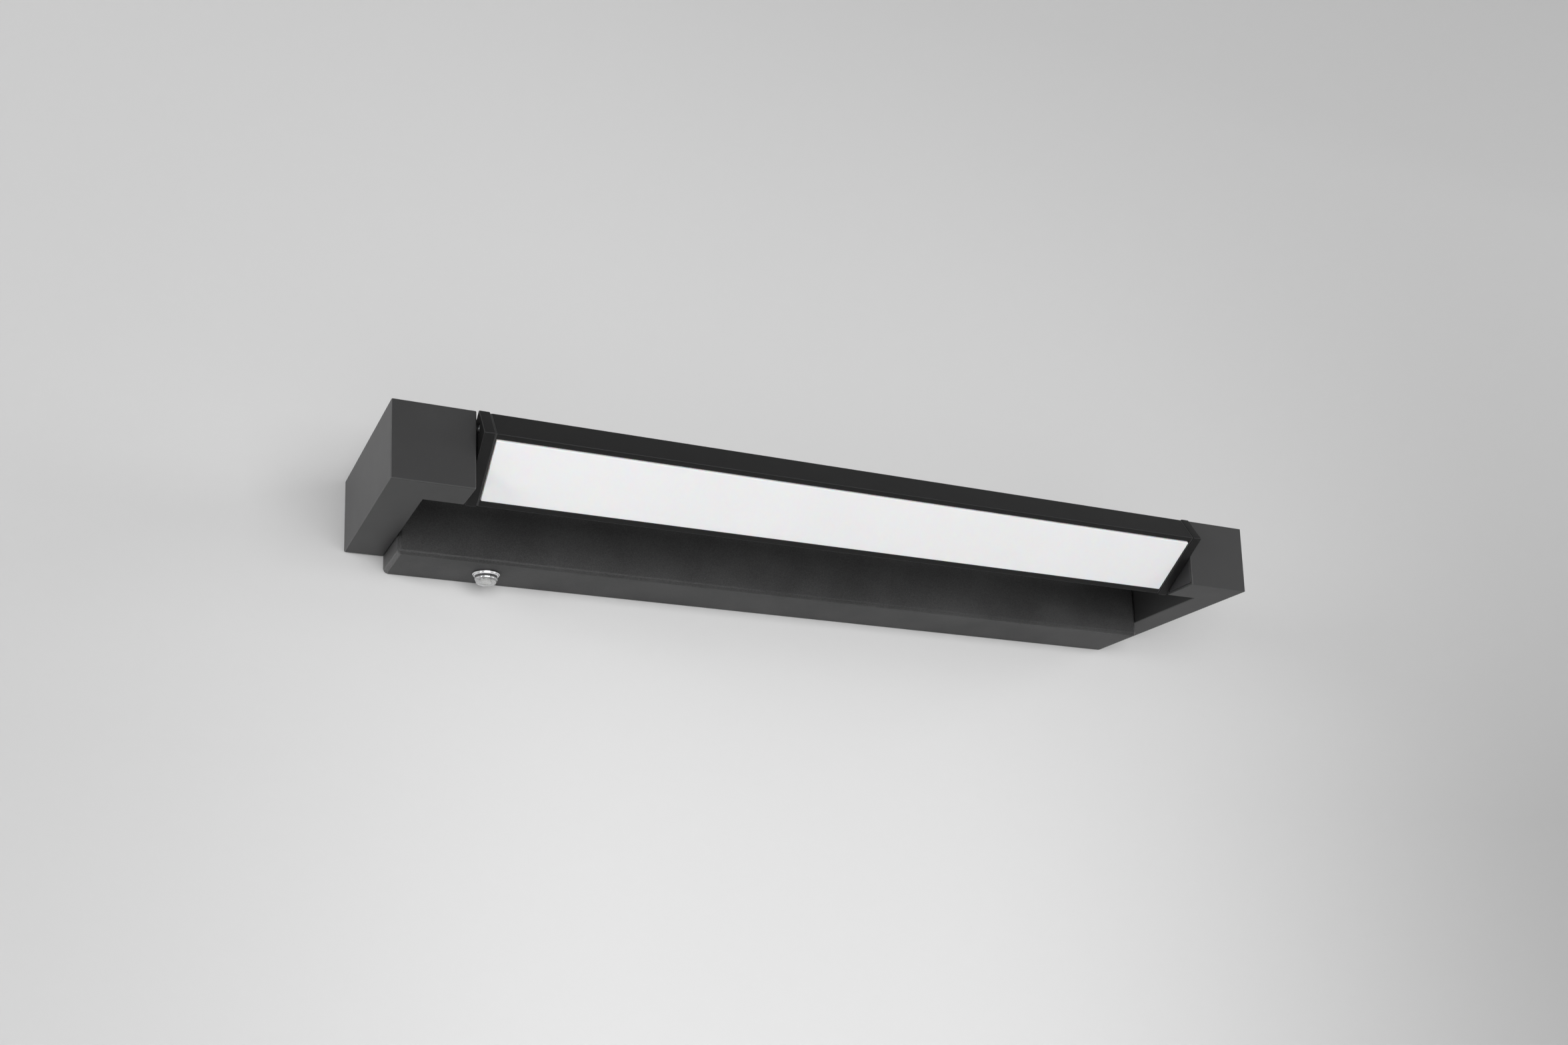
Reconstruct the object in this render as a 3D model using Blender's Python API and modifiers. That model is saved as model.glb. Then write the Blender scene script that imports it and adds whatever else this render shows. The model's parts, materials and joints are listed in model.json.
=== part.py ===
"""Bathroom wall light: an LED bar that tilts between two tube arms on a wall canopy.

Metres, +Z up. The wall is the plane Y = 0 and the light stands out along -Y.
The origin is the centre of the back face, at the height of the tilt axis.
"""

import math

import bmesh
import bpy
from mathutils import Matrix, Vector

MM = 0.001

# Fits and cutting
FIT = 0.3 * MM  # gap between faces that touch on the real light
OVERRUN = 1.0 * MM  # how far a cutter passes the face that it opens
ROUND_SIDES = 24
SMALL_SIDES = 12
EDGE_SEGMENTS = 2
CORNER_STEPS = 3
HEX_SIDES = 6
SHARP_ANGLE = math.radians(35.0)

# Arms
WIDTH = 600.0 * MM
REACH = 135.2 * MM
ARM_HEIGHT = 46.2 * MM
ARM_THICKNESS = 23.8 * MM
STUB_LENGTH = 47.4 * MM
STUB_DEPTH = 26.7 * MM
TUBE_WALL = 1.6 * MM
ARM_EDGE = 0.8 * MM
FOOT_DEPTH = 9.0 * MM
PLUG_LENGTH = 16.0 * MM
PLUG_EDGE = 0.5 * MM

# Canopy
CANOPY_DEPTH = 43.3 * MM
CANOPY_RISE = 10.9 * MM  # above and below the arms
CANOPY_WALL = 2.0 * MM
CANOPY_EDGE = 3.0 * MM
CANOPY_SCREW_INSET = 80.0 * MM  # from the end of the wall plate
CANOPY_SCREW_SETBACK = 8.0 * MM
CANOPY_SCREW_HEAD = 3.7 * MM
CANOPY_SCREW_CONE = 1.7 * MM
CANOPY_SCREW_RADIUS = 2.0 * MM
CANOPY_SCREW_LENGTH = 9.0 * MM

# Wall plate
PLATE_WALL = 1.5 * MM
PLATE_FLANGE = 12.0 * MM
PLATE_END_ROOM = 13.9 * MM  # between the plate and the canopy's end walls
SLOT_INSET = 60.0 * MM  # from the end of the wall plate
SLOT_LENGTH = 16.0 * MM
SLOT_WIDTH = 5.6 * MM
ENTRY_RADIUS = 9.0 * MM
ENTRY_GAP = 24.0 * MM  # from the terminal block

# Rubber bushes, the same shape for the mains cable and for the LED lead
BUSH_RIM = 1.8 * MM
BUSH_LIP = 1.5 * MM
MAINS_BORE = 3.6 * MM
LEAD_BUSH_RADIUS = 4.5 * MM

# Fixing of an arm to the canopy
BOLT_RADIUS = 2.5 * MM
BOLT_SPREAD = 28.0 * MM
BOLT_HEAD_ACROSS = 8.0 * MM
BOLT_HEAD_HEIGHT = 3.5 * MM
BOLT_TIP = 1.0 * MM
NUT_PLATE_THICKNESS = 4.0 * MM
NUT_PLATE_HEIGHT = 42.0 * MM
NUT_PLATE_DEPTH = 20.0 * MM

# Head
HEAD_TILT = math.radians(34.5)  # light turned up from straight down, towards the room
TILT_TRAVEL = math.radians(180.0)
HEAD_GAP = 0.8 * MM  # between a stub and the end cap beside it
PROFILE_WIDTH = 49.6 * MM
PROFILE_DEPTH = 20.3 * MM
PROFILE_WALL = 1.6 * MM
PROFILE_EDGE = 0.5 * MM
LIP_WIDTH = 3.6 * MM
LIP_EDGE = 0.4 * MM
PORT_INSET = 6.0 * MM
PORT_HEIGHT = 12.5 * MM  # from the lit face to the screw ports
PORT_SIZE = 5.8 * MM
CAP_LENGTH = 6.5 * MM
CAP_PROUD = 0.5 * MM
CAP_EDGE = 0.6 * MM
GASKET_THICKNESS = 0.6 * MM
GASKET_INSET = 0.3 * MM
GASKET_BAND = 4.0 * MM
CAP_SCREW_RADIUS = 1.5 * MM
CAP_SCREW_HEAD = 2.9 * MM
CAP_SCREW_HEAD_HEIGHT = 1.8 * MM
CAP_SCREW_SINK = 0.3 * MM
CAP_SCREW_LENGTH = 14.0 * MM

# Diffuser, LED board and its lead
DIFFUSER_PROUD = 1.0 * MM
DIFFUSER_FLANGE = 1.3 * MM
DIFFUSER_EDGE = 0.9 * MM
TAPE_THICKNESS = 0.5 * MM
BOARD_THICKNESS = 1.2 * MM
BOARD_WIDTH = 22.0 * MM
BOARD_END_ROOM = 12.0 * MM
LED_COUNT = 40
LED_LENGTH = 5.0 * MM
LED_WIDTH = 3.0 * MM
LED_HEIGHT = 0.8 * MM
LED_END_ROOM = 16.0 * MM
CONNECTOR_LENGTH = 9.0 * MM
CONNECTOR_WIDTH = 6.0 * MM
CONNECTOR_HEIGHT = 3.2 * MM
LEAD_RADIUS = 1.5 * MM
LEAD_BEND = 9.0 * MM
LEAD_DROP = 27.0 * MM  # from the canopy's end wall, where the lead has come down to the tilt axis

# Pivot
AXLE_RADIUS = 4.0 * MM
AXLE_BORE = 2.1 * MM
AXLE_HEAD_ACROSS = 13.0 * MM
AXLE_HEAD_HEIGHT = 2.6 * MM
AXLE_TIP = 1.5 * MM
POCKET_DEPTH = 3.2 * MM
WASHER_THICKNESS = 1.0 * MM
WASHER_RADIUS = 6.0 * MM
DISC_SPRING_THICKNESS = 1.4 * MM
DISC_SPRING_RADIUS = 7.5 * MM
NUT_THICKNESS = 5.0 * MM
STOP_PIN_RADIUS = 0.9 * MM
STOP_RADIUS = 8.2 * MM
STOP_PIN_GRIP = 11.5 * MM
STOP_GROOVE_DEPTH = 2.3 * MM
GROOVE_STEPS = 18
PLUG_SCREW_RADIUS = 1.5 * MM
PLUG_SCREW_HEAD = 2.8 * MM
PLUG_SCREW_CONE = 1.3 * MM
PLUG_SCREW_LENGTH = 6.0 * MM
PLUG_SCREW_HEIGHT = 14.0 * MM

# Driver, terminal block and earth point
DRIVER_LENGTH = 140.0 * MM
DRIVER_WIDTH = 30.0 * MM
DRIVER_HEIGHT = 23.0 * MM
DRIVER_EDGE = 1.5 * MM
DRIVER_END = 20.0 * MM  # right end of the driver's ears
DRIVER_LIFT = 8.0 * MM
EAR_LENGTH = 9.0 * MM
EAR_WIDTH = 12.0 * MM
EAR_THICKNESS = 3.0 * MM
PAN_RADIUS = 2.0 * MM
PAN_HEAD = 3.6 * MM
PAN_HEIGHT = 2.2 * MM
PAN_CROWN_SHARE = 0.7  # flat part of a round head's radius
POLE_COUNT = 3
POLE_PITCH = 10.0 * MM
POLE_BORE = 1.7 * MM
BLOCK_HEIGHT = 18.0 * MM
BLOCK_DEPTH = 15.0 * MM
BLOCK_GAP = 14.0 * MM  # from the driver's ears
BLOCK_EDGE = 0.8 * MM
BLOCK_SCREW_WELL = 2.6 * MM
BLOCK_WELL_DEPTH = 5.0 * MM
EARTH_GAP = 26.0 * MM  # from the cable entry
EARTH_DROP = 12.0 * MM
LUG_THICKNESS = 0.8 * MM
LUG_RADIUS = 4.2 * MM
LUG_TAIL = 9.0 * MM
WIRE_RADIUS = 1.1 * MM
WIRE_ROOM = 6.0 * MM
WIRE_STEP = 3.3 * MM  # between wires that run side by side

# Switch
SWITCH_INSET = 83.7 * MM  # from the light's left end
SWITCH_FLANGE_RADIUS = 8.6 * MM
SWITCH_FLANGE_HEIGHT = 1.7 * MM
SWITCH_RING_RADIUS = 7.1 * MM
SWITCH_RING_HEIGHT = 1.9 * MM
SWITCH_CONE_STEP = 1.0 * MM
SWITCH_RIM_HEIGHT = 0.5 * MM
BARREL_RADIUS = 5.4 * MM
BARREL_BORE = 3.6 * MM
SWITCH_COLLAR_RADIUS = 8.6 * MM
SWITCH_COLLAR_HEIGHT = 1.8 * MM
SWITCH_BODY_RADIUS = 7.0 * MM
SWITCH_BODY_HEIGHT = 19.0 * MM
SWITCH_CHAMBER_RADIUS = 5.2 * MM
SWITCH_CHAMBER_HEIGHT = 15.0 * MM
SWITCH_TAB_LENGTH = 5.0 * MM
SWITCH_TAB_WIDTH = 4.0 * MM
SWITCH_TAB_THICKNESS = 0.8 * MM
SWITCH_TAB_SPREAD = 8.0 * MM
BOOT_NECK_RADIUS = 5.9 * MM
BOOT_BOWL_RADIUS = 6.7 * MM
BOOT_HEIGHT = 2.9 * MM  # below the boot ring
BOOT_GRIP = 0.5 * MM
BOOT_GRIP_HEIGHT = 0.6 * MM
BOOT_WALL = 0.8 * MM
BUTTON_RADIUS = 3.3 * MM
BUTTON_TRAVEL = 1.5 * MM
BUTTON_COLLAR_RADIUS = 4.8 * MM
BUTTON_COLLAR_HEIGHT = 1.5 * MM
BUTTON_GUIDE_RADIUS = 2.4 * MM
BUTTON_ROUND = 0.6 * MM
SPRING_WIRE = 0.35 * MM
SPRING_RADIUS = 3.4 * MM
SPRING_TURNS = 6
SPRING_POINTS = 8

# Places that follow from the sizes above
HALF_WIDTH = WIDTH / 2
HALF_ARM = ARM_HEIGHT / 2
HALF_CANOPY = HALF_ARM + CANOPY_RISE
PIVOT_Y = STUB_DEPTH / 2 - REACH
MID_DEPTH = -CANOPY_DEPTH / 2
CANOPY_OUTER = ARM_THICKNESS + FIT  # from the outer face of an arm
CANOPY_INNER = CANOPY_OUTER + CANOPY_WALL
CAP_OUTER = STUB_LENGTH + HEAD_GAP
CAP_INNER = CAP_OUTER + CAP_LENGTH
GASKET_OUTER = CAP_INNER + FIT
PROFILE_OUTER = GASKET_OUTER + GASKET_THICKNESS + FIT
HALF_PROFILE = HALF_WIDTH - PROFILE_OUTER
HALF_SECTION = PROFILE_WIDTH / 2
LIT_FACE = -PROFILE_DEPTH / 2
PORT_Y = HALF_SECTION - PORT_INSET
PORT_Z = LIT_FACE + PORT_HEIGHT
BOARD_BOTTOM = CONNECTOR_HEIGHT / 2 + FIT  # the connector's middle lies on the tilt axis
BOARD_TOP = BOARD_BOTTOM + BOARD_THICKNESS
DECK_Z = BOARD_TOP + TAPE_THICKNESS + 2 * FIT
HALF_BOARD = HALF_PROFILE - BOARD_END_ROOM
AXLE_SEAT = CAP_INNER - POCKET_DEPTH
PLUG_INNER = STUB_LENGTH - PLUG_LENGTH
UNDERSIDE = -HALF_CANOPY
HALF_PLATE = HALF_WIDTH - CANOPY_INNER - PLATE_END_ROOM
CANOPY_SCREW_PLACE = HALF_PLATE - CANOPY_SCREW_INSET
SLOT_PLACE = HALF_PLATE - SLOT_INSET
DRIVER_PLACE = DRIVER_END - EAR_LENGTH - DRIVER_LENGTH / 2
BLOCK_PLACE = DRIVER_END + BLOCK_GAP + POLE_COUNT * POLE_PITCH / 2
ENTRY_PLACE = BLOCK_PLACE + POLE_COUNT * POLE_PITCH / 2 + ENTRY_GAP
EARTH_PLACE = ENTRY_PLACE + EARTH_GAP
SWITCH_PLACE = SWITCH_INSET - HALF_WIDTH
PLATE_FRONT = -PLATE_WALL
INNER_FACE = PLATE_FRONT - FIT  # where things on the wall plate begin

PARTS = bpy.data.collections.new("bathroom_wall_light")
CUTTERS = bpy.data.collections.new("cutters")


def clear_scene():
    """Remove the start-up objects and make the two collections."""
    for obj in list(bpy.data.objects):
        bpy.data.objects.remove(obj)
    for group in (PARTS, CUTTERS):
        bpy.context.scene.collection.children.link(group)


def finish(name, colour, metallic, roughness, alpha=1.0):
    """A plain material with the colour and gloss of one finish."""
    made = bpy.data.materials.new(name)
    made.use_nodes = True
    made.diffuse_color = (*colour, alpha)
    shader = made.node_tree.nodes["Principled BSDF"]
    shader.inputs["Base Color"].default_value = (*colour, 1.0)
    shader.inputs["Metallic"].default_value = metallic
    shader.inputs["Roughness"].default_value = roughness
    shader.inputs["Alpha"].default_value = alpha
    return made


def place_object(name, data, look, parent=None):
    """Link an object to the parts, or to the cutters when it has no look."""
    obj = bpy.data.objects.new(name, data)
    if look is None:
        CUTTERS.objects.link(obj)
        obj.hide_render = True
        obj.display_type = "WIRE"
    else:
        PARTS.objects.link(obj)
        data.materials.append(look)
    obj.parent = parent
    return obj


def from_bmesh(name, bm, look, parent=None):
    mesh = bpy.data.meshes.new(name)
    bm.to_mesh(mesh)
    bm.free()
    return place_object(name, mesh, look, parent)


def block(name, low, high, look=None, parent=None):
    """A box between two opposite corners, given in any order."""
    return blocks(name, [(low, high)], look, parent)


def blocks(name, corners, look=None, parent=None):
    """Several separate boxes in one object, for a cutter or a union."""
    bm = bmesh.new()
    for low, high in corners:
        low, high = Vector(map(min, low, high)), Vector(map(max, low, high))
        made = bmesh.ops.create_cube(bm, size=1.0)
        where = Matrix.Translation((low + high) / 2) @ Matrix.Diagonal(high - low).to_4x4()
        bmesh.ops.transform(bm, matrix=where, verts=made["verts"])
    return from_bmesh(name, bm, look, parent)


def rods(name, ends, radius, look=None, parent=None, sides=ROUND_SIDES):
    """Round bars between pairs of points. With six sides they are hexagons."""
    bm = bmesh.new()
    for start, end in ends:
        start, end = Vector(start), Vector(end)
        way = end - start
        turn = way.to_track_quat("Z", "Y").to_matrix().to_4x4()
        bmesh.ops.create_cone(
            bm,
            cap_ends=True,
            segments=sides,
            radius1=radius,
            radius2=radius,
            depth=way.length,
            matrix=Matrix.Translation((start + end) / 2) @ turn,
        )
    return smooth(from_bmesh(name, bm, look, parent))


def rod(name, start, end, radius, look=None, parent=None, sides=ROUND_SIDES):
    return rods(name, [(start, end)], radius, look, parent, sides)


def smooth(obj):
    obj.data.shade_smooth()
    obj.data.set_sharp_from_angle(angle=SHARP_ANGLE)
    return obj


def rounded(points, radius):
    """The closed outline through the points with every corner turned to an arc."""
    made = []
    for i, corner in enumerate(points):
        here = Vector(corner)
        back = (Vector(points[i - 1]) - here).normalized()
        ahead = (Vector(points[(i + 1) % len(points)]) - here).normalized()
        half = back.angle(ahead) / 2
        setback = radius / math.tan(half)
        centre = here + (back + ahead).normalized() * (radius / math.sin(half))
        start, end = here + back * setback - centre, here + ahead * setback - centre
        first = math.atan2(start.y, start.x)
        sweep = (math.atan2(end.y, end.x) - first + math.pi) % math.tau - math.pi
        for k in range(CORNER_STEPS + 1):
            turn = first + sweep * k / CORNER_STEPS
            made.append(centre + radius * Vector((math.cos(turn), math.sin(turn))))
    return made


def circle(centre, radius, sides=SMALL_SIDES):
    """Points of a circle outline."""
    turns = [math.tau * k / sides for k in range(sides)]
    return [Vector(centre) + radius * Vector((math.cos(t), math.sin(t))) for t in turns]


AXES = {
    "X": Matrix(((0, 0, 1), (1, 0, 0), (0, 1, 0))).to_4x4(),
    "Y": Matrix(((0, 1, 0), (0, 0, 1), (1, 0, 0))).to_4x4(),
    "Z": Matrix.Identity(4),
}


def extruded(name, outlines, axis, low, high, look=None, parent=None):
    """Fill closed outlines, where an inner one is a hole, and extrude them along an axis.

    An outline's two numbers are Y and Z on the X axis, Z and X on Y, X and Y on Z.
    """
    low, high = min(low, high), max(low, high)
    curve = bpy.data.curves.new(name, "CURVE")
    curve.dimensions = "2D"
    curve.fill_mode = "BOTH"
    curve.extrude = (high - low) / 2
    for points in outlines:
        spline = curve.splines.new("POLY")
        spline.points.add(len(points) - 1)
        for point, (u, v) in zip(spline.points, points):
            point.co = (u, v, 0, 1)
        spline.use_cyclic_u = True
    guide = bpy.data.objects.new(name + "_outline", curve)
    CUTTERS.objects.link(guide)
    graph = bpy.context.evaluated_depsgraph_get()
    mesh = bpy.data.meshes.new_from_object(guide.evaluated_get(graph))
    bpy.data.objects.remove(guide)
    bpy.data.curves.remove(curve)
    bm = bmesh.new()
    bm.from_mesh(mesh)
    bpy.data.meshes.remove(mesh)
    bmesh.ops.remove_doubles(bm, verts=bm.verts, dist=FIT / ROUND_SIDES)
    bmesh.ops.recalc_face_normals(bm, faces=bm.faces)
    bm.transform(AXES[axis] @ Matrix.Translation((0, 0, (low + high) / 2)))
    return smooth(from_bmesh(name, bm, look, parent))


def turned(name, profile, look, parent=None, place=(0, 0, 0), along=(0, 0, 1), sides=ROUND_SIDES):
    """Revolve a profile of (radius, height) points about the direction along.

    A profile that starts and ends off the axis is closed to a ring.
    """
    bm = bmesh.new()
    points = [bm.verts.new((radius, 0, height)) for radius, height in profile]
    pairs = list(zip(points, points[1:]))
    if profile[0][0] > 0:
        pairs.append((points[-1], points[0]))
    for first, second in pairs:
        if first.co.x > 0 or second.co.x > 0:
            bm.edges.new((first, second))
    obj = from_bmesh(name, bm, look, parent)
    obj.location = place
    obj.rotation_euler = Vector(along).to_track_quat("Z", "Y").to_euler()
    spin = obj.modifiers.new("turn", "SCREW")
    spin.steps = sides
    spin.render_steps = sides
    spin.use_merge_vertices = True
    spin.merge_threshold = FIT / ROUND_SIDES
    spin.use_smooth_shade = True
    return obj


def ring(name, inner, outer, start, end, look, parent=None):
    """A flat ring or bush between two points on its axis."""
    start, end = Vector(start), Vector(end)
    height = (end - start).length
    profile = [(inner, height), (outer, height), (outer, 0), (inner, 0)]
    return turned(name, profile, look, parent, start, end - start)


def boolean(obj, tool, operation):
    step = obj.modifiers.new(tool.name, "BOOLEAN")
    step.operation = operation
    step.object = tool
    step.solver = "EXACT"
    return obj


def cut(obj, tool):
    return boolean(obj, tool, "DIFFERENCE")


def join(obj, tool):
    return boolean(obj, tool, "UNION")


def round_edges(obj, radius, segments=EDGE_SEGMENTS):
    edges = obj.modifiers.new("edges", "BEVEL")
    edges.width = radius
    edges.segments = segments
    edges.limit_method = "ANGLE"
    edges.angle_limit = SHARP_ANGLE
    return obj


def hex_radius(across):
    """Corner radius of a hexagon that measures across over its flats."""
    return across / 2 / math.cos(math.pi / HEX_SIDES)


def inward(side, depth):
    """X of a point that lies depth inside the outer face of the left (-1) or right (1) arm."""
    return side * (HALF_WIDTH - depth)


def pivot_line(side, start, end):
    """Two points on the tilt axis, given by their depths inside an arm's outer face."""
    return (inward(side, start), PIVOT_Y, 0), (inward(side, end), PIVOT_Y, 0)


def tube(name, points, radius, look, resolution=2):
    """A round tube along points, with closed ends."""
    curve = bpy.data.curves.new(name, "CURVE")
    curve.dimensions = "3D"
    curve.bevel_depth = radius
    curve.bevel_resolution = resolution
    curve.use_fill_caps = True
    spline = curve.splines.new("POLY")
    spline.points.add(len(points) - 1)
    for point, place in zip(spline.points, points):
        point.co = (*place, 1)
    return place_object(name, curve, look)


def bend(corner, before, after, radius):
    """Points of a quarter-like bend from the side of before to the side of after."""
    corner, before, after = Vector(corner), Vector(before), Vector(after)
    start = corner + (before - corner).normalized() * radius
    end = corner + (after - corner).normalized() * radius
    made = []
    for k in range(CORNER_STEPS + 1):
        t = k / CORNER_STEPS
        made.append(start * (1 - t) ** 2 + corner * 2 * t * (1 - t) + end * t**2)
    return made


def routed(points, radius):
    """Straight runs joined by bends of one radius."""
    made = [Vector(points[0])]
    for before, corner, after in zip(points, points[1:], points[2:]):
        made += bend(corner, before, after, radius)
    return made + [Vector(points[-1])]


# Looks
ARM_PAINT = finish("arm_paint", (0.068, 0.068, 0.068), 0.0, 0.42)
CANOPY_PAINT = finish("canopy_paint", (0.035, 0.035, 0.036), 0.0, 0.62)
HEAD_PAINT = finish("head_paint", (0.022, 0.022, 0.023), 0.0, 0.4)
OPAL = finish("opal", (0.8, 0.8, 0.81), 0.0, 0.35)
CHROME = finish("chrome", (0.75, 0.75, 0.76), 1.0, 0.12)
STEEL = finish("steel", (0.55, 0.55, 0.56), 1.0, 0.35)
BLACK_PLASTIC = finish("black_plastic", (0.02, 0.02, 0.02), 0.0, 0.5)
WHITE_PLASTIC = finish("white_plastic", (0.75, 0.75, 0.73), 0.0, 0.5)
RUBBER = finish("rubber", (0.015, 0.015, 0.015), 0.0, 0.8)
CLEAR_RUBBER = finish("clear_rubber", (0.8, 0.82, 0.82), 0.0, 0.25, 0.4)
BOARD_WHITE = finish("board_white", (0.7, 0.7, 0.68), 0.0, 0.45)
TAPE_GREY = finish("tape_grey", (0.35, 0.35, 0.36), 0.0, 0.8)
WIRE_BROWN = finish("wire_brown", (0.13, 0.05, 0.02), 0.0, 0.5)
WIRE_BLUE = finish("wire_blue", (0.02, 0.08, 0.35), 0.0, 0.5)
WIRE_GREEN = finish("wire_green", (0.1, 0.35, 0.05), 0.0, 0.5)


def make_arm(side, word):
    """One L-shaped tube: a leg from the wall and a stub towards the head."""
    x0, x1 = inward(side, 0), inward(side, ARM_THICKNESS)
    stub_x, inner_y = inward(side, STUB_LENGTH), STUB_DEPTH - REACH
    outline = [(x0, 0), (x0, -REACH), (stub_x, -REACH), (stub_x, inner_y), (x1, inner_y), (x1, 0)]
    arm = extruded(word + "_arm", [outline], "Z", -HALF_ARM, HALF_ARM, ARM_PAINT)
    round_edges(arm, ARM_EDGE)

    wall, beyond = TUBE_WALL * side, OVERRUN * side
    hollow = [
        (x0 - wall, OVERRUN),
        (x0 - wall, TUBE_WALL - REACH),
        (stub_x - beyond, TUBE_WALL - REACH),
        (stub_x - beyond, inner_y - TUBE_WALL),
        (x1 + wall, inner_y - TUBE_WALL),
        (x1 + wall, OVERRUN),
    ]
    inside = HALF_ARM - TUBE_WALL
    cut(arm, extruded(word + "_arm_hollow", [hollow], "Z", -inside, inside))

    holes = bolt_lines(side, ARM_THICKNESS + OVERRUN, ARM_THICKNESS - TUBE_WALL - OVERRUN)
    cut(arm, rods(word + "_arm_bolt_holes", holes, BOLT_RADIUS + FIT))
    if side < 0:
        line = lead_line(side, ARM_THICKNESS + OVERRUN, ARM_THICKNESS - TUBE_WALL - OVERRUN)
        cut(arm, rod(word + "_arm_lead_hole", *line, LEAD_BUSH_RADIUS))

    place = (inward(side, STUB_LENGTH - PLUG_LENGTH / 2), inner_y, PLUG_SCREW_HEIGHT)
    sizes = PLUG_SCREW_HEAD + FIT, PLUG_SCREW_CONE, PLUG_SCREW_RADIUS + FIT, TUBE_WALL + OVERRUN
    cut(arm, countersink(word + "_arm_countersink", place, (0, 1, 0), *sizes))


def bolt_lines(side, start, end):
    """The axes of the two bolts of an arm, between two depths."""
    heights = (-BOLT_SPREAD / 2, BOLT_SPREAD / 2)
    return [((inward(side, start), MID_DEPTH, z), (inward(side, end), MID_DEPTH, z)) for z in heights]


def lead_line(side, start, end):
    """The way of the LED lead through the side walls, between two depths."""
    return (inward(side, start), MID_DEPTH, 0), (inward(side, end), MID_DEPTH, 0)


def countersink(name, place, along, head, cone, radius, depth):
    """Cutter for a countersunk screw whose head ends flush at the place."""
    profile = [(0, OVERRUN), (head, OVERRUN), (head, 0), (radius, -cone), (radius, -depth), (0, -depth)]
    return turned(name, profile, None, None, place, along, SMALL_SIDES)


def countersunk_screw(name, place, along, head, cone, radius, length):
    profile = [(0, 0), (head, 0), (radius, -cone), (radius, -length), (0, -length)]
    return turned(name, profile, STEEL, None, place, along, SMALL_SIDES)


def pan_screw(name, place, along, head, height, radius, length, parent=None):
    """A screw with a low round head. The place is the seat under its head."""
    profile = [
        (0, height),
        (head * PAN_CROWN_SHARE, height),
        (head, height / 2),
        (head, 0),
        (radius, 0),
        (radius, -length),
        (0, -length),
    ]
    return turned(name, profile, STEEL, parent, place, along, SMALL_SIDES)


def make_arm_fixing(side, word):
    """Bolts and nut plate that clamp an arm to the canopy's end wall."""
    plate_inner = ARM_THICKNESS - TUBE_WALL - FIT
    plate_outer = plate_inner - NUT_PLATE_THICKNESS
    nut_plate = block(
        word + "_nut_plate",
        (inward(side, plate_outer), MID_DEPTH - NUT_PLATE_DEPTH / 2, -NUT_PLATE_HEIGHT / 2),
        (inward(side, plate_inner), MID_DEPTH + NUT_PLATE_DEPTH / 2, NUT_PLATE_HEIGHT / 2),
        STEEL,
    )
    holes = bolt_lines(side, plate_inner + OVERRUN, plate_outer - OVERRUN)
    cut(nut_plate, rods(word + "_nut_plate_holes", holes, BOLT_RADIUS + FIT))
    lead = lead_line(side, plate_inner + OVERRUN, plate_outer - OVERRUN)
    cut(nut_plate, rod(word + "_lead_way", *lead, LEAD_BUSH_RADIUS + BUSH_LIP + FIT))

    seat = CANOPY_INNER + FIT
    heads = bolt_lines(side, seat, seat + BOLT_HEAD_HEIGHT)
    shanks = bolt_lines(side, seat + BOLT_HEAD_HEIGHT / 2, plate_outer - BOLT_TIP)
    for level, head, shank in zip(("lower", "upper"), heads, shanks):
        name = f"{word}_arm_bolt_{level}"
        corner = hex_radius(BOLT_HEAD_ACROSS)
        bolt = rod(name, *head, corner, STEEL, sides=HEX_SIDES)
        join(bolt, rod(name + "_shank", *shank, BOLT_RADIUS, sides=SMALL_SIDES))


def make_arm_foot(side, word):
    """The plug that closes an arm at the wall."""
    room = TUBE_WALL + FIT
    foot = block(
        word + "_arm_foot",
        (inward(side, room), -FOOT_DEPTH, room - HALF_ARM),
        (inward(side, ARM_THICKNESS - room), 0, HALF_ARM - room),
        BLACK_PLASTIC,
    )
    round_edges(foot, PLUG_EDGE)


def make_stub_plug(side, word):
    """The plug in the end of a stub. It carries the head's axle."""
    room = TUBE_WALL + FIT
    half_y = STUB_DEPTH / 2 - room
    plug = block(
        word + "_stub_plug",
        (inward(side, STUB_LENGTH), PIVOT_Y - half_y, room - HALF_ARM),
        (inward(side, PLUG_INNER), PIVOT_Y + half_y, HALF_ARM - room),
        BLACK_PLASTIC,
    )
    round_edges(plug, PLUG_EDGE)
    line = pivot_line(side, STUB_LENGTH + OVERRUN, PLUG_INNER - OVERRUN)
    cut(plug, rod(word + "_plug_bore", *line, AXLE_RADIUS + FIT))
    if side < 0:
        start, end = stop_pin_line(STUB_LENGTH + OVERRUN, STUB_LENGTH - STOP_PIN_GRIP - FIT)
        cut(plug, rod("stop_pin_hole", start, end, STOP_PIN_RADIUS + FIT, sides=SMALL_SIDES))

    screw_x = inward(side, STUB_LENGTH - PLUG_LENGTH / 2)
    face_y = STUB_DEPTH - REACH
    deep = face_y - PLUG_SCREW_LENGTH - FIT
    line = (screw_x, face_y, PLUG_SCREW_HEIGHT), (screw_x, deep, PLUG_SCREW_HEIGHT)
    cut(plug, rod(word + "_plug_screw_hole", *line, PLUG_SCREW_RADIUS + FIT, sides=SMALL_SIDES))
    countersunk_screw(
        word + "_plug_screw",
        (screw_x, face_y, PLUG_SCREW_HEIGHT),
        (0, 1, 0),
        PLUG_SCREW_HEAD,
        PLUG_SCREW_CONE,
        PLUG_SCREW_RADIUS,
        PLUG_SCREW_LENGTH,
    )


def stop_pin_line(start, end):
    """The axis of the stop pin, on the wall side of the tilt axis in the left stub."""
    y = PIVOT_Y + STOP_RADIUS
    return (inward(-1, start), y, 0), (inward(-1, end), y, 0)


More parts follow.
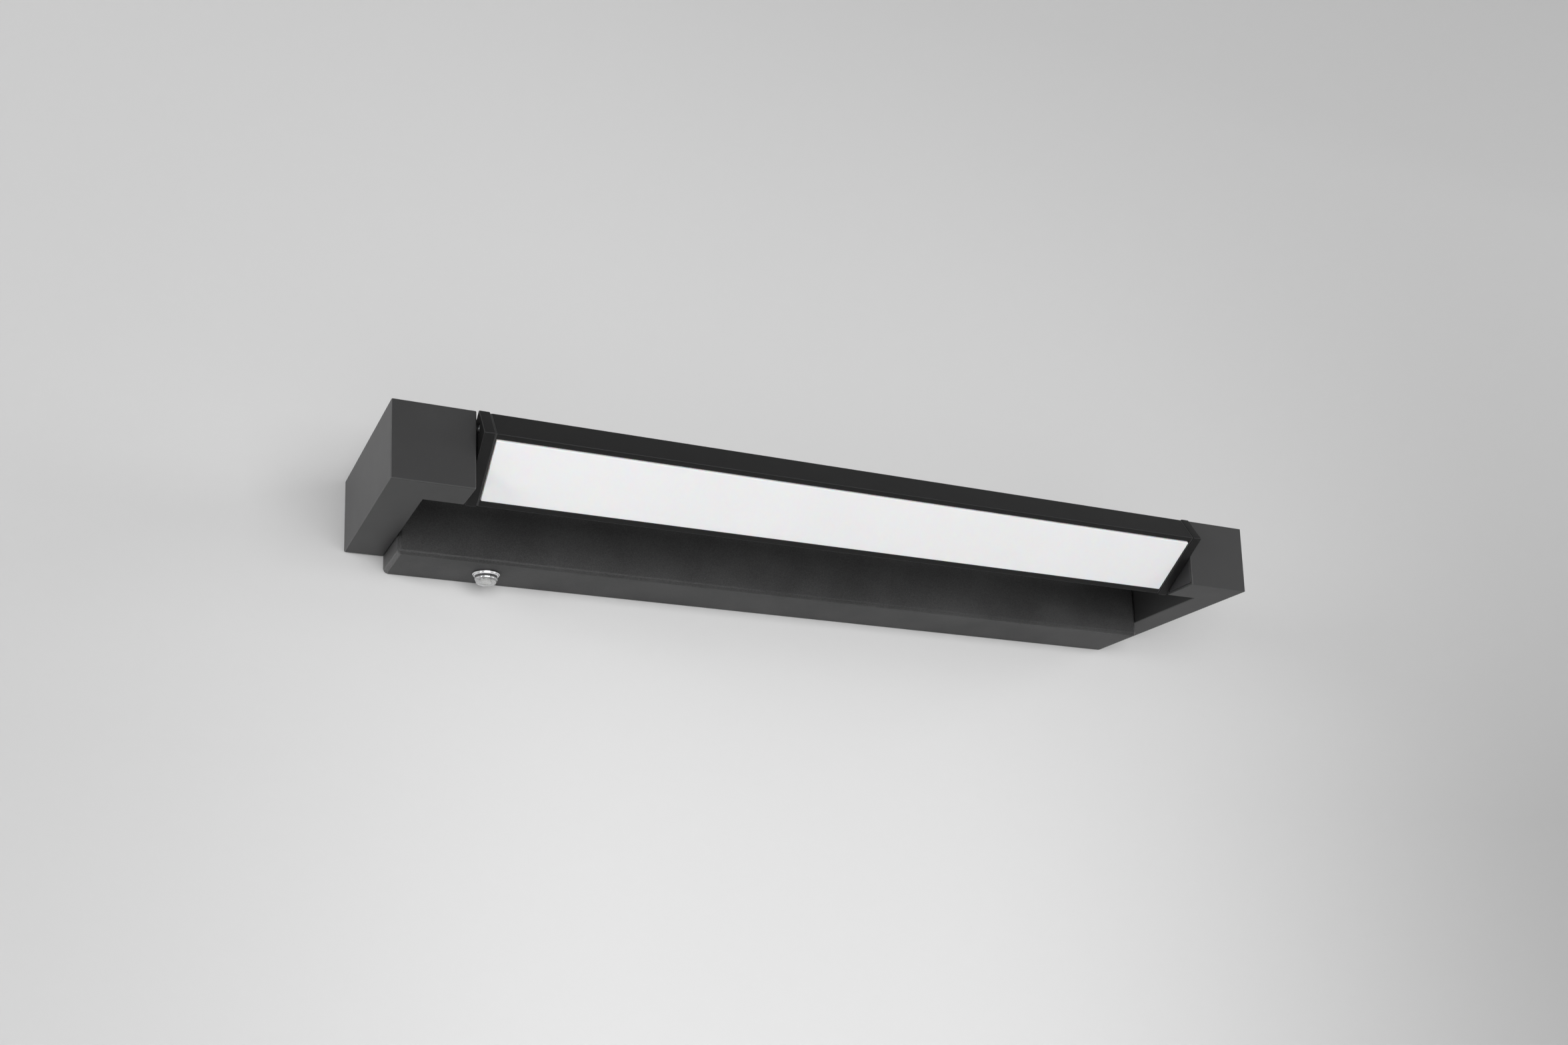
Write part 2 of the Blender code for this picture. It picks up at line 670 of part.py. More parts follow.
def make_canopy():
    """The box on the wall: a shell that is open at the back."""
    half_x = HALF_WIDTH - CANOPY_OUTER
    bm = bmesh.new()
    bmesh.ops.create_cube(bm, size=1.0)
    size = Vector((2 * half_x, CANOPY_DEPTH, 2 * HALF_CANOPY))
    bm.transform(Matrix.Translation((0, MID_DEPTH, 0)) @ Matrix.Diagonal(size).to_4x4())
    back = [face for face in bm.faces if face.calc_center_median().y > MID_DEPTH / 2]
    bmesh.ops.delete(bm, geom=back, context="FACES_ONLY")
    canopy = smooth(from_bmesh("canopy_cover", bm, CANOPY_PAINT))
    round_edges(canopy, CANOPY_EDGE, EDGE_SEGMENTS + 1)
    shell = canopy.modifiers.new("wall", "SOLIDIFY")
    shell.thickness = CANOPY_WALL
    shell.offset = -1.0
    shell.use_even_offset = True

    for side, word in ((-1, "left"), (1, "right")):
        holes = bolt_lines(side, CANOPY_OUTER - OVERRUN, CANOPY_INNER + OVERRUN)
        cut(canopy, rods(word + "_canopy_bolt_holes", holes, BOLT_RADIUS + FIT))
        top = (side * CANOPY_SCREW_PLACE, -CANOPY_SCREW_SETBACK, HALF_CANOPY)
        sizes = CANOPY_SCREW_HEAD + FIT, CANOPY_SCREW_CONE, CANOPY_SCREW_RADIUS + FIT, CANOPY_WALL + OVERRUN
        cut(canopy, countersink(word + "_canopy_countersink", top, (0, 0, 1), *sizes))
        countersunk_screw(
            word + "_canopy_screw",
            top,
            (0, 0, 1),
            CANOPY_SCREW_HEAD,
            CANOPY_SCREW_CONE,
            CANOPY_SCREW_RADIUS,
            CANOPY_SCREW_LENGTH,
        )
    line = lead_line(-1, CANOPY_OUTER - OVERRUN, CANOPY_INNER + OVERRUN)
    cut(canopy, rod("canopy_lead_hole", *line, LEAD_BUSH_RADIUS))
    below = (SWITCH_PLACE, MID_DEPTH, UNDERSIDE - OVERRUN)
    above = (SWITCH_PLACE, MID_DEPTH, UNDERSIDE + CANOPY_WALL + OVERRUN)
    cut(canopy, rod("switch_hole", below, above, BARREL_RADIUS + FIT))


def make_wall_plate():
    """The steel plate on the wall, with a flange along each long side."""
    outer = HALF_CANOPY - CANOPY_WALL - FIT
    inner = outer - PLATE_WALL
    section = [
        (0, -outer),
        (-PLATE_FLANGE, -outer),
        (-PLATE_FLANGE, -inner),
        (PLATE_FRONT, -inner),
        (PLATE_FRONT, inner),
        (-PLATE_FLANGE, inner),
        (-PLATE_FLANGE, outer),
        (0, outer),
    ]
    plate = extruded("wall_plate", [section], "X", -HALF_PLATE, HALF_PLATE, STEEL)
    for side, word in ((-1, "left"), (1, "right")):
        slot = slot_outline(side * SLOT_PLACE)
        cut(plate, extruded(word + "_slot", [slot], "Y", PLATE_FRONT - OVERRUN, OVERRUN))
        x, y = side * CANOPY_SCREW_PLACE, -CANOPY_SCREW_SETBACK
        line = (x, y, outer + OVERRUN), (x, y, inner - OVERRUN)
        cut(plate, rod(word + "_plate_screw_hole", *line, CANOPY_SCREW_RADIUS + FIT))
    centres = [driver_screw_place(-1), driver_screw_place(1), block_screw_place()]
    centres += [(EARTH_PLACE, -EARTH_DROP)]
    holes = [((x, PLATE_FRONT - OVERRUN, z), (x, OVERRUN, z)) for x, z in centres]
    cut(plate, rods("plate_holes", holes, PAN_RADIUS + FIT, sides=SMALL_SIDES))
    line = (ENTRY_PLACE, PLATE_FRONT - OVERRUN, 0), (ENTRY_PLACE, OVERRUN, 0)
    cut(plate, rod("cable_entry", *line, ENTRY_RADIUS))


def slot_outline(centre_x):
    """A slot with round ends, as Z and X points."""
    radius, reach = SLOT_WIDTH / 2, (SLOT_LENGTH - SLOT_WIDTH) / 2
    points = []
    for end, start in ((1, 0.0), (-1, math.pi)):
        for k in range(SMALL_SIDES // 2 + 1):
            turn = start + math.pi * k / (SMALL_SIDES // 2)
            x = centre_x + end * reach + radius * math.sin(turn)
            points.append((radius * math.cos(turn), x))
    return points


def make_mains_grommet():
    """The cable bush in the wall plate. It stays flush with the wall behind."""
    neck, lip = ENTRY_RADIUS - FIT, ENTRY_RADIUS + BUSH_LIP
    front = PLATE_WALL + FIT
    profile = [
        (MAINS_BORE, front + BUSH_RIM),
        (lip, front + BUSH_RIM),
        (lip, front),
        (neck, front),
        (neck, 0),
        (MAINS_BORE, 0),
    ]
    turned("mains_grommet", profile, RUBBER, None, (ENTRY_PLACE, 0, 0), (0, -1, 0))


def make_lead_grommet():
    """The bush for the LED lead, through the canopy's end wall and the arm's side."""
    start, end = lead_line(-1, ARM_THICKNESS - TUBE_WALL, CANOPY_INNER)
    walls = end[0] - start[0]
    bore, lip, neck = LEAD_RADIUS + FIT, LEAD_BUSH_RADIUS + BUSH_LIP, LEAD_BUSH_RADIUS - FIT
    profile = [
        (bore, walls + FIT + BUSH_RIM),
        (lip, walls + FIT + BUSH_RIM),
        (lip, walls + FIT),
        (neck, walls + FIT),
        (neck, -FIT),
        (lip, -FIT),
        (lip, -FIT - BUSH_RIM),
        (bore, -FIT - BUSH_RIM),
    ]
    turned("lead_grommet", profile, RUBBER, None, start, (1, 0, 0))


def driver_screw_place(side):
    """X and Z of a driver screw."""
    reach = DRIVER_LENGTH / 2 + EAR_LENGTH / 2
    return DRIVER_PLACE + side * reach, DRIVER_LIFT


def block_screw_place():
    """X and Z of the terminal block's screw, between its first two poles."""
    return BLOCK_PLACE - POLE_PITCH / 2, 0.0


def make_driver():
    """The LED driver: a potted box with a screw ear at each end."""
    half_x, half_z = DRIVER_LENGTH / 2, DRIVER_WIDTH / 2
    driver = block(
        "led_driver",
        (DRIVER_PLACE - half_x, INNER_FACE - DRIVER_HEIGHT, DRIVER_LIFT - half_z),
        (DRIVER_PLACE + half_x, INNER_FACE, DRIVER_LIFT + half_z),
        WHITE_PLASTIC,
    )
    round_edges(driver, DRIVER_EDGE)
    reach = half_x + EAR_LENGTH
    ears = block(
        "driver_ears",
        (DRIVER_PLACE - reach, INNER_FACE - EAR_THICKNESS, DRIVER_LIFT - EAR_WIDTH / 2),
        (DRIVER_PLACE + reach, INNER_FACE, DRIVER_LIFT + EAR_WIDTH / 2),
    )
    join(driver, ears)
    seat = INNER_FACE - EAR_THICKNESS - FIT
    for side, word in ((-1, "left"), (1, "right")):
        x, z = driver_screw_place(side)
        line = (x, INNER_FACE - EAR_THICKNESS - OVERRUN, z), (x, INNER_FACE + OVERRUN, z)
        cut(driver, rod(word + "_ear_hole", *line, PAN_RADIUS + FIT, sides=SMALL_SIDES))
        length = -seat - FIT
        name = word + "_driver_screw"
        pan_screw(name, (x, seat, z), (0, -1, 0), PAN_HEAD, PAN_HEIGHT, PAN_RADIUS, length)


def pole_x(index):
    return BLOCK_PLACE + (index - (POLE_COUNT - 1) / 2) * POLE_PITCH


def make_terminal_block():
    """The mains terminal block, with one bore and one screw well for each pole."""
    half_x, half_z = POLE_COUNT * POLE_PITCH / 2, BLOCK_HEIGHT / 2
    front = INNER_FACE - BLOCK_DEPTH
    body = block(
        "terminal_block",
        (BLOCK_PLACE - half_x, front, -half_z),
        (BLOCK_PLACE + half_x, INNER_FACE, half_z),
        WHITE_PLASTIC,
    )
    round_edges(body, BLOCK_EDGE)
    y = INNER_FACE - BLOCK_DEPTH / 2
    top = half_z + OVERRUN
    bores = [((pole_x(i), y, -top), (pole_x(i), y, top)) for i in range(POLE_COUNT)]
    cut(body, rods("pole_bores", bores, POLE_BORE, sides=SMALL_SIDES))
    wells = []
    for i in range(POLE_COUNT):
        for z in (-half_z / 2, half_z / 2):
            ends = (pole_x(i), front - OVERRUN, z), (pole_x(i), front + BLOCK_WELL_DEPTH, z)
            wells.append(ends)
    cut(body, rods("screw_wells", wells, BLOCK_SCREW_WELL, sides=SMALL_SIDES))
    x, z = block_screw_place()
    line = (x, front - OVERRUN, z), (x, INNER_FACE + OVERRUN, z)
    cut(body, rod("block_screw_hole", *line, PAN_RADIUS + FIT, sides=SMALL_SIDES))
    seat = front - FIT
    length = -seat - FIT
    pan_screw("terminal_screw", (x, seat, z), (0, -1, 0), PAN_HEAD, PAN_HEIGHT, PAN_RADIUS, length)


def make_earth_point():
    """The earth screw on the wall plate, with the ring lug of the earth wire under it."""
    opening = math.pi - math.asin(WIRE_RADIUS / LUG_RADIUS)
    outline = []
    for k in range(SMALL_SIDES + 1):
        turn = opening * (2 * k / SMALL_SIDES - 1)
        x, z = LUG_RADIUS * math.cos(turn), LUG_RADIUS * math.sin(turn)
        outline.append((z - EARTH_DROP, x + EARTH_PLACE))
    tail_x = EARTH_PLACE - LUG_RADIUS - LUG_TAIL
    outline += [(WIRE_RADIUS - EARTH_DROP, tail_x), (-WIRE_RADIUS - EARTH_DROP, tail_x)]
    hole = circle((-EARTH_DROP, EARTH_PLACE), PAN_RADIUS + FIT)
    extruded("earth_lug", [outline, hole], "Y", INNER_FACE - LUG_THICKNESS, INNER_FACE, STEEL)
    seat = INNER_FACE - LUG_THICKNESS - FIT
    place = (EARTH_PLACE, seat, -EARTH_DROP)
    pan_screw("earth_screw", place, (0, -1, 0), PAN_HEAD, PAN_HEIGHT, PAN_RADIUS, -seat - FIT)


def make_wires():
    """The mains wires inside the canopy, from the terminal block outwards."""
    y = INNER_FACE - BLOCK_DEPTH / 2
    under_block = -BLOCK_HEIGHT / 2
    tab_top = UNDERSIDE + CANOPY_WALL + FIT + SWITCH_BODY_HEIGHT + SWITCH_TAB_LENGTH + FIT
    tab_x = SWITCH_TAB_SPREAD / 2
    low, lower = under_block - WIRE_ROOM, under_block - WIRE_ROOM - WIRE_STEP
    above = tab_top + WIRE_ROOM / 2
    driver_end = DRIVER_PLACE + DRIVER_LENGTH / 2 + FIT
    driver_y = INNER_FACE - DRIVER_HEIGHT / 2 - WIRE_ROOM / 2
    near_y, far_y = driver_y + 2 * WIRE_RADIUS, driver_y - 2 * WIRE_RADIUS
    reach = WIRE_ROOM + WIRE_STEP

    live = [
        (pole_x(0), y, under_block + WIRE_ROOM / 2),
        (pole_x(0), y, low),
        (SWITCH_PLACE - tab_x, y, low),
        (SWITCH_PLACE - tab_x, MID_DEPTH, above),
        (SWITCH_PLACE - tab_x, MID_DEPTH, tab_top),
    ]
    neutral_z = DRIVER_LIFT - EAR_WIDTH / 2
    neutral = [
        (pole_x(1), y, under_block + WIRE_ROOM / 2),
        (pole_x(1), y, lower),
        (driver_end + 2 * reach, near_y, lower),
        (driver_end + reach, near_y, neutral_z),
        (driver_end, near_y, neutral_z),
    ]
    front_y = y - WIRE_STEP - WIRE_RADIUS
    switched = [
        (SWITCH_PLACE + tab_x, MID_DEPTH, tab_top),
        (SWITCH_PLACE + tab_x, MID_DEPTH, above),
        (SWITCH_PLACE + 2 * reach, front_y, lower),
        (driver_end - 2 * reach, front_y, lower),
        (driver_end + reach, far_y, DRIVER_LIFT - DRIVER_WIDTH / 2),
        (driver_end + reach, far_y, DRIVER_LIFT),
        (driver_end, far_y, DRIVER_LIFT),
    ]
    lug_x = EARTH_PLACE - LUG_RADIUS - LUG_TAIL - FIT
    lug_y = INNER_FACE - WIRE_RADIUS
    earth = [
        (pole_x(2), y, under_block + WIRE_ROOM / 2),
        (pole_x(2), y, low),
        (lug_x - reach, lug_y, -EARTH_DROP),
        (lug_x, lug_y, -EARTH_DROP),
    ]
    for name, route, look in (
        ("live_wire", live, WIRE_BROWN),
        ("neutral_wire", neutral, WIRE_BLUE),
        ("switched_wire", switched, WIRE_BROWN),
        ("earth_wire", earth, WIRE_GREEN),
    ):
        tube(name, routed(route, WIRE_ROOM / 2), WIRE_RADIUS, look)


def make_lead():
    """The LED lead, from the driver through the left arm and the hollow axle to the board.

    It lies on the tilt axis inside the axle and the head, so tilting only twists it.
    """
    start_x = DRIVER_PLACE - DRIVER_LENGTH / 2 - FIT
    y, z = INNER_FACE - DRIVER_HEIGHT / 2, DRIVER_LIFT
    arm_x = inward(-1, ARM_THICKNESS / 2)
    corners = [
        (start_x, y, z),
        (start_x - EAR_LENGTH - LEAD_BEND, y, z),
        (inward(-1, CANOPY_INNER + LEAD_DROP), MID_DEPTH, 0),
        (arm_x, MID_DEPTH, 0),
        (arm_x, PIVOT_Y, 0),
        (-HALF_BOARD - FIT, PIVOT_Y, 0),
    ]
    tube("led_lead", routed(corners, LEAD_BEND), LEAD_RADIUS, BLACK_PLASTIC)


def make_profile(head):
    """The extruded channel: side walls, lips, a deck for the LEDs and two screw ports."""
    half, wall = HALF_SECTION, PROFILE_WALL
    top = -LIT_FACE
    mouth = half - LIP_WIDTH
    inner = half - wall
    port_in = PORT_Y - PORT_SIZE / 2
    port_low, port_high = PORT_Z - PORT_SIZE / 2, PORT_Z + PORT_SIZE / 2
    deck_top = DECK_Z + wall
    corners = rounded([(half, LIT_FACE), (half, top), (-half, top), (-half, LIT_FACE)], PROFILE_EDGE)
    light_side = [
        (-mouth - LIP_EDGE, LIT_FACE),
        (-mouth, LIT_FACE + LIP_EDGE),
        (-mouth, LIT_FACE + wall),
        (-inner, LIT_FACE + wall),
        (-inner, port_low),
        (-port_in, port_low),
        (-port_in, DECK_Z),
        (port_in, DECK_Z),
        (port_in, port_low),
        (inner, port_low),
        (inner, LIT_FACE + wall),
        (mouth, LIT_FACE + wall),
        (mouth, LIT_FACE + LIP_EDGE),
        (mouth + LIP_EDGE, LIT_FACE),
    ]
    chamber = [
        (-inner, port_high),
        (-port_in, port_high),
        (-port_in, deck_top),
        (port_in, deck_top),
        (port_in, port_high),
        (inner, port_high),
        (inner, top - wall),
        (-inner, top - wall),
    ]
    bore = CAP_SCREW_RADIUS + FIT
    ports = [circle((y, PORT_Z), bore) for y in (PORT_Y, -PORT_Y)]
    outlines = [corners + light_side, chamber, *ports]
    extruded("head_profile", outlines, "X", -HALF_PROFILE, HALF_PROFILE, HEAD_PAINT, head)


def make_diffuser(head):
    """The opal strip: a face between the lips and a wider flange behind them."""
    face = LIT_FACE - DIFFUSER_PROUD
    shoulder = LIT_FACE + PROFILE_WALL + FIT
    back = shoulder + DIFFUSER_FLANGE
    mouth = HALF_SECTION - LIP_WIDTH - FIT
    flange = HALF_SECTION - PROFILE_WALL - FIT
    edge = DIFFUSER_EDGE
    turns = [math.pi / 2 * k / CORNER_STEPS for k in range(CORNER_STEPS + 1)]
    right = [(mouth - edge + edge * math.sin(t), face + edge - edge * math.cos(t)) for t in turns]
    left = [(-y, z) for y, z in reversed(right)]
    section = right + [(mouth, shoulder), (flange, shoulder), (flange, back)]
    section += [(-flange, back), (-flange, shoulder), (-mouth, shoulder)] + left
    extruded("diffuser", [section], "X", -HALF_PROFILE, HALF_PROFILE, OPAL, head)


def make_board(head):
    """The LED board with its row of LEDs, its tape and its connector."""
    half_y = BOARD_WIDTH / 2
    tape_top = DECK_Z - FIT
    low, high = (-HALF_BOARD, -half_y, tape_top - TAPE_THICKNESS), (HALF_BOARD, half_y, tape_top)
    block("thermal_tape", low, high, TAPE_GREY, head)
    low, high = (-HALF_BOARD, -half_y, BOARD_BOTTOM), (HALF_BOARD, half_y, BOARD_TOP)
    board = block("led_board", low, high, BOARD_WHITE, head)
    first, last = LED_END_ROOM - HALF_BOARD, HALF_BOARD - LED_END_ROOM
    leds = []
    for k in range(LED_COUNT):
        x = first + (last - first) * k / (LED_COUNT - 1)
        low = (x - LED_LENGTH / 2, -LED_WIDTH / 2, BOARD_BOTTOM - LED_HEIGHT)
        high = (x + LED_LENGTH / 2, LED_WIDTH / 2, BOARD_BOTTOM + BOARD_THICKNESS / 2)
        leds.append((low, high))
    join(board, blocks("leds", leds, parent=head))
    top = BOARD_BOTTOM - FIT
    low = (-HALF_BOARD, -CONNECTOR_WIDTH / 2, top - CONNECTOR_HEIGHT)
    high = (-HALF_BOARD + CONNECTOR_LENGTH, CONNECTOR_WIDTH / 2, top)
    block("board_connector", low, high, WHITE_PLASTIC, head)


def section_outline(grow):
    """The head's outline as Y and Z points, larger than the channel by grow on each side."""
    y, z = HALF_SECTION + grow, -LIT_FACE + grow
    return [(y, -z), (y, z), (-y, z), (-y, -z)]


def cap_screw_line(side, sign, start, end):
    """The axis of one cap screw, in the head's own frame."""
    return (inward(side, start), sign * PORT_Y, PORT_Z), (inward(side, end), sign * PORT_Y, PORT_Z)


def make_end_cap(side, word, head):
    """An end cap with its gasket and its two screws."""
    outline = section_outline(CAP_PROUD)
    ends = inward(side, CAP_OUTER), inward(side, CAP_INNER)
    cap = extruded(word + "_end_cap", [outline], "X", *ends, HEAD_PAINT, head)
    round_edges(cap, CAP_EDGE)
    axis = [(inward(side, depth), 0, 0) for depth in (CAP_OUTER - OVERRUN, CAP_INNER + OVERRUN)]
    cut(cap, rod(word + "_cap_bore", *axis, AXLE_RADIUS + FIT, parent=head))
    recess_floor = STUB_LENGTH + FIT + WASHER_THICKNESS + FIT
    recess = [(inward(side, depth), 0, 0) for depth in (CAP_OUTER - OVERRUN, recess_floor)]
    cut(cap, rod(word + "_washer_recess", *recess, WASHER_RADIUS + FIT, parent=head))
    pocket = [(inward(side, depth), 0, 0) for depth in (AXLE_SEAT, CAP_INNER + OVERRUN)]
    corner = hex_radius(AXLE_HEAD_ACROSS) + FIT
    cut(cap, rod(word + "_axle_pocket", *pocket, corner, parent=head, sides=HEX_SIDES))
    wells, holes = [], []
    seat = CAP_OUTER + CAP_SCREW_SINK + CAP_SCREW_HEAD_HEIGHT + FIT
    for sign in (-1, 1):
        wells.append(cap_screw_line(side, sign, CAP_OUTER - OVERRUN, seat))
        holes.append(cap_screw_line(side, sign, seat - OVERRUN, CAP_INNER + OVERRUN))
    cut(cap, rods(word + "_cap_wells", wells, CAP_SCREW_HEAD + FIT, parent=head))
    cut(cap, rods(word + "_cap_holes", holes, CAP_SCREW_RADIUS + FIT, parent=head, sides=SMALL_SIDES))
    if side < 0:
        low, high = inward(side, CAP_OUTER - OVERRUN), inward(side, CAP_OUTER + STOP_GROOVE_DEPTH)
        cut(cap, extruded("stop_groove", [groove_outline()], "X", low, high, parent=head))

    gap = -GASKET_INSET
    frame = section_outline(gap)
    window = section_outline(gap - GASKET_BAND)
    low, high = inward(side, GASKET_OUTER), inward(side, GASKET_OUTER + GASKET_THICKNESS)
    gasket = extruded(word + "_cap_gasket", [frame, window], "X", low, high, RUBBER, head)
    holes = [cap_screw_line(side, s, CAP_INNER, PROFILE_OUTER) for s in (-1, 1)]
    pads = rods(word + "_gasket_pads", gasket_lines(side), PORT_SIZE / 2, parent=head)
    join(gasket, pads)
    cut(gasket, rods(word + "_gasket_holes", holes, CAP_SCREW_RADIUS + FIT, parent=head, sides=SMALL_SIDES))

    for sign, end_word in ((-1, "front"), (1, "rear")):
        place = cap_screw_line(side, sign, seat - FIT, seat)[0]
        name = f"{word}_cap_screw_{end_word}"
        size = CAP_SCREW_HEAD, CAP_SCREW_HEAD_HEIGHT, CAP_SCREW_RADIUS, CAP_SCREW_LENGTH
        pan_screw(name, place, (side, 0, 0), *size, head)


def gasket_lines(side):
    """Axes of the gasket's round pads, inside its own thickness."""
    ends = GASKET_OUTER, GASKET_OUTER + GASKET_THICKNESS
    return [cap_screw_line(side, sign, *ends) for sign in (-1, 1)]


def groove_outline():
    """The arc groove for the stop pin: half a turn on the back half of the cap."""
    half = STOP_PIN_RADIUS + FIT
    points = []
    for k in range(GROOVE_STEPS + 1):
        turn = TILT_TRAVEL * k / GROOVE_STEPS
        reach = STOP_RADIUS + half
        points.append((reach * math.cos(turn), reach * math.sin(turn)))
    points += groove_end(TILT_TRAVEL, half)
    for k in reversed(range(GROOVE_STEPS + 1)):
        turn = TILT_TRAVEL * k / GROOVE_STEPS
        reach = STOP_RADIUS - half
        points.append((reach * math.cos(turn), reach * math.sin(turn)))
    points += reversed(groove_end(0.0, -half))
    return points


def groove_end(turn, half):
    """The round end of the stop groove, between its two arcs."""
    made = []
    centre = STOP_RADIUS * Vector((math.cos(turn), math.sin(turn)))
    steps = SMALL_SIDES // 2
    for k in range(1, steps):
        angle = turn + math.pi * k / steps if half > 0 else turn - math.pi * k / steps
        made.append(tuple(centre + abs(half) * Vector((math.cos(angle), math.sin(angle)))))
    return made


def make_pivot(side, word, head):
    """Axle, washer, disc spring and nut of one end of the head."""
    nut_inner = PLUG_INNER - FIT - DISC_SPRING_THICKNESS - FIT
    nut_outer = nut_inner - NUT_THICKNESS
    tip = nut_outer - AXLE_TIP
    corner = hex_radius(AXLE_HEAD_ACROSS)

    def line(start, end):
        return (inward(side, start), 0, 0), (inward(side, end), 0, 0)

    seat = AXLE_SEAT + FIT
    axle = rod(word + "_axle", *line(seat, seat + AXLE_HEAD_HEIGHT), corner, STEEL, head, HEX_SIDES)
    shank = line(seat + AXLE_HEAD_HEIGHT / 2, tip)
    join(axle, rod(word + "_axle_shank", *shank, AXLE_RADIUS, parent=head))
    if side < 0:
        bore = line(CAP_INNER + OVERRUN, tip - OVERRUN)
        cut(axle, rod("axle_bore", *bore, AXLE_BORE, parent=head))
    start = STUB_LENGTH + FIT
    ends = line(start, start + WASHER_THICKNESS)
    ring(word + "_friction_washer", AXLE_RADIUS + FIT, WASHER_RADIUS, *ends, WHITE_PLASTIC, head)

    inner, outer = AXLE_RADIUS + FIT, DISC_SPRING_RADIUS
    thick = DISC_SPRING_THICKNESS / 2
    profile = [(inner, 2 * thick), (outer, thick), (outer, 0), (inner, thick)]
    seat = (inward(side, PLUG_INNER - FIT), 0, 0)
    turned(word + "_disc_spring", profile, STEEL, head, seat, (side, 0, 0))

    nut = rod(word + "_axle_nut", *line(nut_inner, nut_outer), corner, STEEL, head, HEX_SIDES)
    ends = line(nut_inner + OVERRUN, nut_outer - OVERRUN)
    cut(nut, rod(word + "_nut_bore", *ends, AXLE_RADIUS + FIT, parent=head))


def make_stop_pin():
    """The pin in the left plug that runs in the cap's arc groove."""
    start, end = stop_pin_line(STUB_LENGTH - STOP_PIN_GRIP, CAP_OUTER + STOP_GROOVE_DEPTH - FIT)
    rod("stop_pin", start, end, STOP_PIN_RADIUS, STEEL, sides=SMALL_SIDES)


def make_switch(button_axis):
    """The push switch: rings and boot under the canopy, body and spring inside."""
    place = (SWITCH_PLACE, MID_DEPTH, UNDERSIDE)
    bore = BARREL_RADIUS + FIT
    flange_top, flange_low = -FIT, -FIT - SWITCH_FLANGE_HEIGHT
    step = SWITCH_CONE_STEP
    flange = [
        (bore, flange_top),
        (SWITCH_FLANGE_RADIUS, flange_top),
        (SWITCH_FLANGE_RADIUS, flange_top - SWITCH_RIM_HEIGHT),
        (SWITCH_FLANGE_RADIUS - step, flange_low),
        (bore, flange_low),
    ]
    turned("switch_flange", flange, CHROME, None, place)

    ring_top = flange_low - FIT
    ring_low = ring_top - SWITCH_RING_HEIGHT
    grip_low = ring_top - FIT - BOOT_GRIP_HEIGHT
    boot_ring = [
        (BOOT_NECK_RADIUS + BOOT_GRIP + FIT, ring_top),
        (SWITCH_RING_RADIUS, ring_top),
        (SWITCH_RING_RADIUS, ring_low),
        (BOOT_NECK_RADIUS + FIT, ring_low),
        (BOOT_NECK_RADIUS + FIT, grip_low - FIT),
        (BOOT_NECK_RADIUS + BOOT_GRIP + FIT, grip_low - FIT),
    ]
    turned("switch_boot_ring", boot_ring, CHROME, None, place)

    barrel_low = ring_top
    floor = CANOPY_WALL + FIT
    collar_top = floor + SWITCH_COLLAR_HEIGHT
    body_top = floor + SWITCH_BODY_HEIGHT
    chamber_top = body_top - (SWITCH_BODY_RADIUS - SWITCH_CHAMBER_RADIUS)
    chamber_low = chamber_top - SWITCH_CHAMBER_HEIGHT
    body = [
        (0, body_top),
        (SWITCH_BODY_RADIUS, body_top),
        (SWITCH_BODY_RADIUS, collar_top),
        (SWITCH_COLLAR_RADIUS, collar_top),
        (SWITCH_COLLAR_RADIUS, floor),
        (BARREL_RADIUS, floor),
        (BARREL_RADIUS, barrel_low),
        (BARREL_BORE, barrel_low),
        (BARREL_BORE, chamber_low),
        (SWITCH_CHAMBER_RADIUS, chamber_low),
        (SWITCH_CHAMBER_RADIUS, chamber_top),
        (0, chamber_top),
    ]
    body = turned("switch_body", body, BLACK_PLASTIC, None, place)
    tabs = []
    for sign in (-1, 1):
        x = SWITCH_PLACE + sign * SWITCH_TAB_SPREAD / 2
        half_x, half_y, top = SWITCH_TAB_THICKNESS / 2, SWITCH_TAB_WIDTH / 2, UNDERSIDE + body_top
        low = (x - half_x, MID_DEPTH - half_y, top - FIT)
        high = (x + half_x, MID_DEPTH + half_y, top + SWITCH_TAB_LENGTH)
        tabs.append((low, high))
    join(body, blocks("switch_tabs", tabs))

    boot_top = barrel_low - FIT
    boot_low = ring_low - BOOT_HEIGHT
    inner_low = boot_low + BOOT_WALL
    bowl_top = ring_low - FIT
    outer = [(BOOT_NECK_RADIUS + BOOT_GRIP, boot_top), (BOOT_NECK_RADIUS + BOOT_GRIP, grip_low)]
    outer += [(BOOT_NECK_RADIUS, grip_low), (BOOT_NECK_RADIUS, bowl_top)]
    outer += bowl(BOOT_BOWL_RADIUS, bowl_top, boot_low)
    inner = [(BOOT_NECK_RADIUS - BOOT_WALL, boot_top), (BOOT_NECK_RADIUS - BOOT_WALL, bowl_top - BOOT_WALL)]
    inner += bowl(BOOT_BOWL_RADIUS - BOOT_WALL, bowl_top - BOOT_WALL, inner_low)
    profile = outer + [(0, boot_low), (0, inner_low)] + list(reversed(inner))
    turned("switch_boot", profile, CLEAR_RUBBER, None, place)

    collar_low = chamber_low + FIT
    collar_high = collar_low + BUTTON_COLLAR_HEIGHT
    guide_top = chamber_top - FIT - BUTTON_TRAVEL
    tip = inner_low + FIT
    button = [
        (0, guide_top),
        (BUTTON_GUIDE_RADIUS, guide_top),
        (BUTTON_GUIDE_RADIUS, collar_high),
        (BUTTON_COLLAR_RADIUS, collar_high),
        (BUTTON_COLLAR_RADIUS, collar_low),
        (BUTTON_RADIUS, collar_low),
        (BUTTON_RADIUS, tip + BUTTON_ROUND),
        (BUTTON_RADIUS - BUTTON_ROUND, tip),
        (0, tip),
    ]
    turned("switch_button", button, WHITE_PLASTIC, button_axis)

